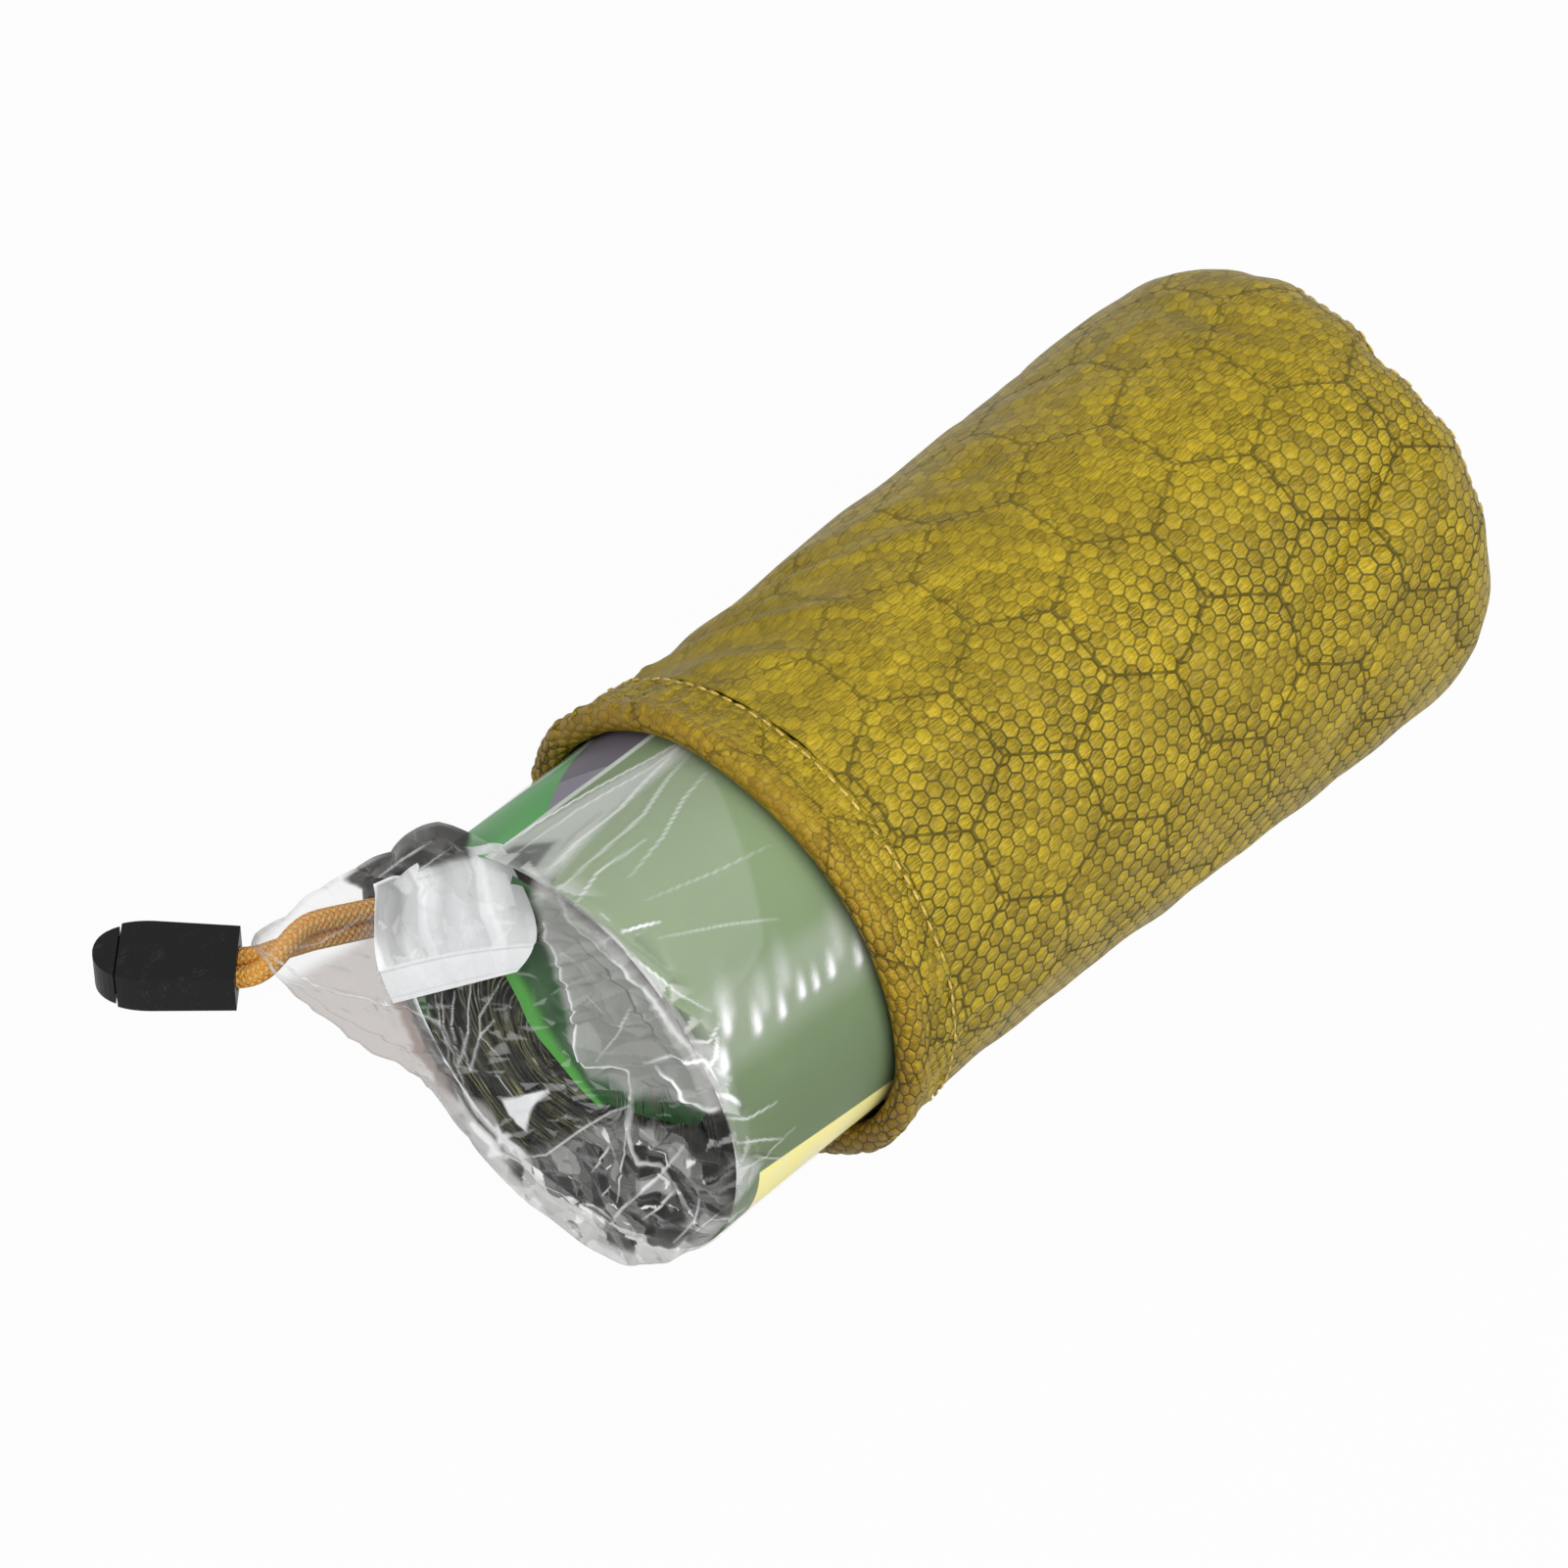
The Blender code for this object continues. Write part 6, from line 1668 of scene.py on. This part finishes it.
class SLEEPBAG_OT_stage(bpy.types.Operator):
    """Add the pale floor, the studio light and the camera"""

    bl_idname = "sleepbag.stage"
    bl_label = "Studio stage"

    def execute(self, context):
        scene = context.scene
        scene.view_settings.view_transform = "Standard"
        self.add_camera(scene)
        self.add_world(scene)
        self.add_floor()
        self.add_lamp("key_light", (-0.12, -0.72, 0.68), 1.0, 0.80, 0.60, 8.6)
        self.add_lamp("front_light", (0.15, -0.95, 0.30), 1.2, 0.80, 0.50, 2.2)
        self.add_lamp("top_light", (-0.35, 0.10, 0.95), 1.1, 0.90, 0.70, 1.3)
        self.add_lamp("left_light", (-0.85, 0.10, 0.45), 1.1, 0.30, 0.60, 3.1)
        return {"FINISHED"}

    def add_camera(self, scene):
        azimuth, elevation = math.radians(-46.7), math.radians(46.5)
        right = Vector((math.cos(azimuth), math.sin(azimuth), 0))
        back = Vector((math.sin(azimuth) * math.cos(elevation),
                       -math.cos(azimuth) * math.cos(elevation), math.sin(elevation)))
        up = back.cross(right)
        place = right * -0.0378 + up * 0.0135 + back * 1.1 + Vector((-0.00325, 0, 0.00008))
        camera = bpy.data.cameras.new("photo_camera")
        camera.lens = 155.4
        camera.sensor_width = 36.0
        camera.clip_start = 0.05
        obj = bpy.data.objects.new("photo_camera", camera)
        obj.matrix_world = Matrix.Translation(place) @ Matrix(
            (right, up, back)).transposed().to_4x4()
        scene.collection.objects.link(obj)
        scene.camera = obj

    def seen_share(self, tree):
        """1 for rays from the camera, and for those that it sees mirrored or through film."""
        rays = put(tree, "ShaderNodeLightPath").outputs
        return calc(tree, "MAXIMUM", rays["Is Camera Ray"], calc(
            tree, "MAXIMUM", rays["Is Glossy Ray"], rays["Is Transmission Ray"]))

    def add_world(self, scene):
        world = bpy.data.worlds.new("studio")
        world.use_nodes = True
        tree = world.node_tree
        tree.nodes.clear()
        strength = smooth_step(tree, self.seen_share(tree), 0.0, 1.0, 0.4, 1.0)
        light = put(tree, "ShaderNodeBackground", {"Color": (1, 1, 1), "Strength": strength})
        output = put(tree, "ShaderNodeOutputWorld")
        tree.links.new(light.outputs[0], output.inputs[0])
        scene.world = world

    def add_floor(self):
        mesh = bpy.data.meshes.new("floor")
        half, level = 3.0, -0.1 * MM
        mesh.from_pydata([(-half, -half, level), (half, -half, level), (half, half, level),
                          (-half, half, level)], [], [(0, 1, 2, 3)])
        mat = bpy.data.materials.new("pale_floor")
        mat.use_nodes = True
        tree = mat.node_tree
        tree.nodes.clear()
        share = times(tree, self.seen_share(tree), 0.97)
        matte = put(tree, "ShaderNodeBsdfDiffuse", {"Color": (0.40, 0.40, 0.40)})
        white = put(tree, "ShaderNodeEmission", {"Color": (1, 1, 1), "Strength": 1.0})
        mixed = put(tree, "ShaderNodeMixShader", (share, matte.outputs[0], white.outputs[0]))
        output = put(tree, "ShaderNodeOutputMaterial")
        tree.links.new(mixed.outputs[0], output.inputs[0])
        new_object("floor", mesh, mat)

    def add_lamp(self, name, toward, distance, width, height, power):
        light = bpy.data.lights.new(name, "AREA")
        light.shape = "RECTANGLE"
        light.size = width
        light.size_y = height
        light.energy = power
        obj = bpy.data.objects.new(name, light)
        direction = Vector(toward).normalized()
        obj.location = direction * distance + Vector((-0.02, 0, 0.04))
        obj.rotation_euler = direction.to_track_quat("Z", "Y").to_euler()
        bpy.context.scene.collection.objects.link(obj)


class SLEEPBAG_OT_sack(bpy.types.Operator):
    """Build the sack's cloth with its folds, its rolled hem and its stitches"""

    bl_idname = "sleepbag.sack"
    bl_label = "Stuff sack"

    def execute(self, context):
        sizes = context.scene.sleeping_bag_sizes
        cloth = new_object("sack_cloth", sack_cloth_mesh(sizes), material("ripstop"))
        thicken(cloth, sizes.cloth_thickness, -1.0)
        dress(cloth, "sack", "ripstop", "sack_body", "end_panel")
        hem = new_object("mouth_hem_cloth", hem_mesh(sizes), material("ripstop"))
        dress(hem, "sack", "hem_ripstop", "mouth_hem")

        angle = np.linspace(math.radians(72), math.radians(396), 400)
        turn = np.mod(angle, math.tau)
        radius = AXIS_Z + 0.35 * MM + 0.12 * MM * ripple(
            waves(33, 26, 9 * MM, 4 * MM, 0.25), 0 * turn, turn)
        points = around_axis(HEM_BACK_X - 0.9 * MM, turn, radius, 0.0)
        points[:, 2] = np.maximum(points[:, 2], 0.45 * MM)
        hem_line = seam_stitches("hem_stitches", points, sizes.stitch_spacing, 2.1 * MM,
                                 0.5 * MM)
        dress(hem_line, "sack", "hem_ripstop")

        start, _ = corner_place()
        run = start + CORNER * CORNER_SEAM + 1.3 * MM
        back = cloth_place(np.full(481, run), np.linspace(0.0, math.tau, 481), 0.05 * MM)
        end_line = seam_stitches("end_seam_stitches", back, sizes.stitch_spacing, 2.0 * MM,
                                 0.42 * MM)
        dress(end_line, "sack", "ripstop")
        return {"FINISHED"}


class SLEEPBAG_OT_drawcord(bpy.types.Operator):
    """Build the braided drawcord in the hem and its two free strands"""

    bl_idname = "sleepbag.drawcord"
    bl_label = "Drawcord"

    def execute(self, context):
        radius = CORD_DIAMETER / 2
        half = math.asin(SLIT_HALF / TUNNEL_RING) + 0.6 * MM / TUNNEL_RING
        angle = SLIT_ANGLE + half + np.linspace(0, math.tau - 2 * half, 240)
        inner = around_axis(TUNNEL_X, np.mod(angle, math.tau), TUNNEL_RING, PRESSED)
        run = new_object("drawcord_inside", cord_mesh("drawcord_inside", inner, radius, 12),
                         material("cord"))
        dress(run, "sack", "paracord", "drawcord_in_hem")
        for name, route, node in (("drawcord_strand_a", STRAND_A, "drawcord_tail_a"),
                                  ("drawcord_strand_b", STRAND_B, "drawcord_tail_b")):
            points = [Vector((MOUTH_X - m * MM, n * MM, z * MM)) for m, n, z in route]
            line, length = even_route(points, 0.55 * MM)
            strand = new_object(name, cord_mesh(name, line, radius), material("cord"))
            dress(strand, "sack", "paracord", node)
        paint_node("drawcord_knot", material("cord_plain"))
        return {"FINISHED"}


class SLEEPBAG_OT_fittings(bpy.types.Operator):
    """Finish the cord lock and the cord end"""

    bl_idname = "sleepbag.fittings"
    bl_label = "Cord lock and cord end"

    def execute(self, context):
        for name in ("cord_lock_body", "cord_lock_plunger", "toggle_body", "toggle_cap"):
            paint_node(name, material("black"))
        self.add_spring()
        return {"FINISHED"}

    def add_spring(self):
        """The lock's coil spring, which the plunger presses against the barrel's bottom."""
        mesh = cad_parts["cord_lock_spring"].data.copy()
        mesh.name = "lock_spring_coil"
        work = open_mesh(mesh)
        bmesh.ops.remove_doubles(work, verts=work.verts, dist=0.001 * MM)
        for face in work.faces:
            face.smooth = True
        close_mesh(work, mesh, outwards=False)
        coil = new_object("lock_spring_coil", mesh, material("steel"))
        dress(coil, "cord_lock", "spring_steel", "cord_lock_spring")
        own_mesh(coil)


class SLEEPBAG_OT_roll(bpy.types.Operator):
    """Build the rolled metallised bag as a wound strip of several layers"""

    bl_idname = "sleepbag.roll"
    bl_label = "Rolled sleeping bag"

    def execute(self, context):
        sizes = context.scene.sleeping_bag_sizes
        mesh = bpy.data.meshes.new("rolled_bag")
        roll = new_object("rolled_bag", mesh, material("foil"))
        modifier = roll.modifiers.new("wound", "NODES")
        modifier.node_group = wound_strip_tree()
        set_inputs(modifier, Turns=sizes.roll_turns, Layers=sizes.roll_layers,
                   Front=ROLL_FRONT_X, Length=ROLL_BACK_X - ROLL_FRONT_X, Axis_Height=AXIS_Z,
                   Pressed=PRESSED, Material=material("foil"))
        thicken(roll, 0.3 * MM, 0.0)
        dress(roll, "bundle", "metallised_film", "sleeping_bag_roll")
        return {"FINISHED"}


class SLEEPBAG_OT_card(bpy.types.Operator):
    """Build the printed card round the roll"""

    bl_idname = "sleepbag.card"
    bl_label = "Printed card"

    def execute(self, context):
        start, end = math.radians(32), math.radians(320)
        radius = CARD_OUTER
        length = CARD_HIGH[0] - CARD_LOW[0]
        columns, rows = 220, 60
        angle = np.linspace(start, end, columns + 1)[None, :]
        share = np.linspace(0, 1, rows + 1)[:, None]
        along = CARD_LOW[0] + length * share
        rim = math.tau * radius
        slack = 0.07 * MM * ripple(waves(61, 16, 50 * MM, 18 * MM, rim), along, angle)
        points = around_axis(along, angle, radius - 0.05 * MM + slack, PRESSED)
        uvs = np.stack(np.broadcast_arrays(radius * (angle - start), along - CARD_LOW[0]), -1)
        mesh = grid_mesh("card_sleeve", points, uvs, "card")
        mesh.flip_normals()
        card = new_object("card_sleeve", mesh, material("card"))
        thicken(card, 0.3 * MM, -1.0)
        dress(card, "bundle", "printed_card", "card_wrap")
        return {"FINISHED"}


class SLEEPBAG_OT_film(bpy.types.Operator):
    """Build the clear film: its tube, welded back end, crumpled front and flap"""

    bl_idname = "sleepbag.film"
    bl_label = "Clear film"

    def execute(self, context):
        sizes = context.scene.sleeping_bag_sizes
        tube = new_object("film_tube_sheet", film_tube_mesh(sizes), material("tube_film"))
        dress(tube, "bundle", "clear_film", "film_tube")
        front = new_object("film_front_sheet", film_front_mesh(sizes), material("film"))
        dress(front, "bundle", "clear_film", "film_front")
        flap = new_object("film_flap_sheet", film_flap_mesh(), material("flap"))
        dress(flap, "bundle", "frosted_film", "film_flap")
        paint_node("film_end_seal", material("tube_film"))
        fold = new_object("inner_fold", inner_fold_mesh(), material("inner"))
        dress(fold, "bundle", "metallised_film")
        return {"FINISHED"}


OPERATORS = (SLEEPBAG_OT_stage, SLEEPBAG_OT_sack, SLEEPBAG_OT_fittings,
             SLEEPBAG_OT_drawcord, SLEEPBAG_OT_roll, SLEEPBAG_OT_card, SLEEPBAG_OT_film)


class SLEEPBAG_PT_panel(bpy.types.Panel):
    """Pieces of the sleeping bag and its sack"""

    bl_idname = "SLEEPBAG_PT_panel"
    bl_label = "Sleeping Bag"
    bl_space_type = "VIEW_3D"
    bl_region_type = "UI"
    bl_category = "Sleeping Bag"

    def draw(self, context):
        for operator in OPERATORS:
            self.layout.operator(operator.bl_idname)


CLASSES = (SleepingBagSizes, SleepingBagColors, *OPERATORS, SLEEPBAG_PT_panel)


def register():
    for cls in CLASSES:
        bpy.utils.register_class(cls)
    bpy.types.Scene.sleeping_bag_sizes = bpy.props.PointerProperty(type=SleepingBagSizes)
    bpy.types.Scene.sleeping_bag_colors = bpy.props.PointerProperty(type=SleepingBagColors)


def unregister():
    del bpy.types.Scene.sleeping_bag_colors
    del bpy.types.Scene.sleeping_bag_sizes
    for cls in reversed(CLASSES):
        bpy.utils.unregister_class(cls)


def main():
    register()
    for operator in OPERATORS:
        group_name, name = operator.bl_idname.split(".")
        getattr(getattr(bpy.ops, group_name), name)()


if __name__ == "__main__":
    main()
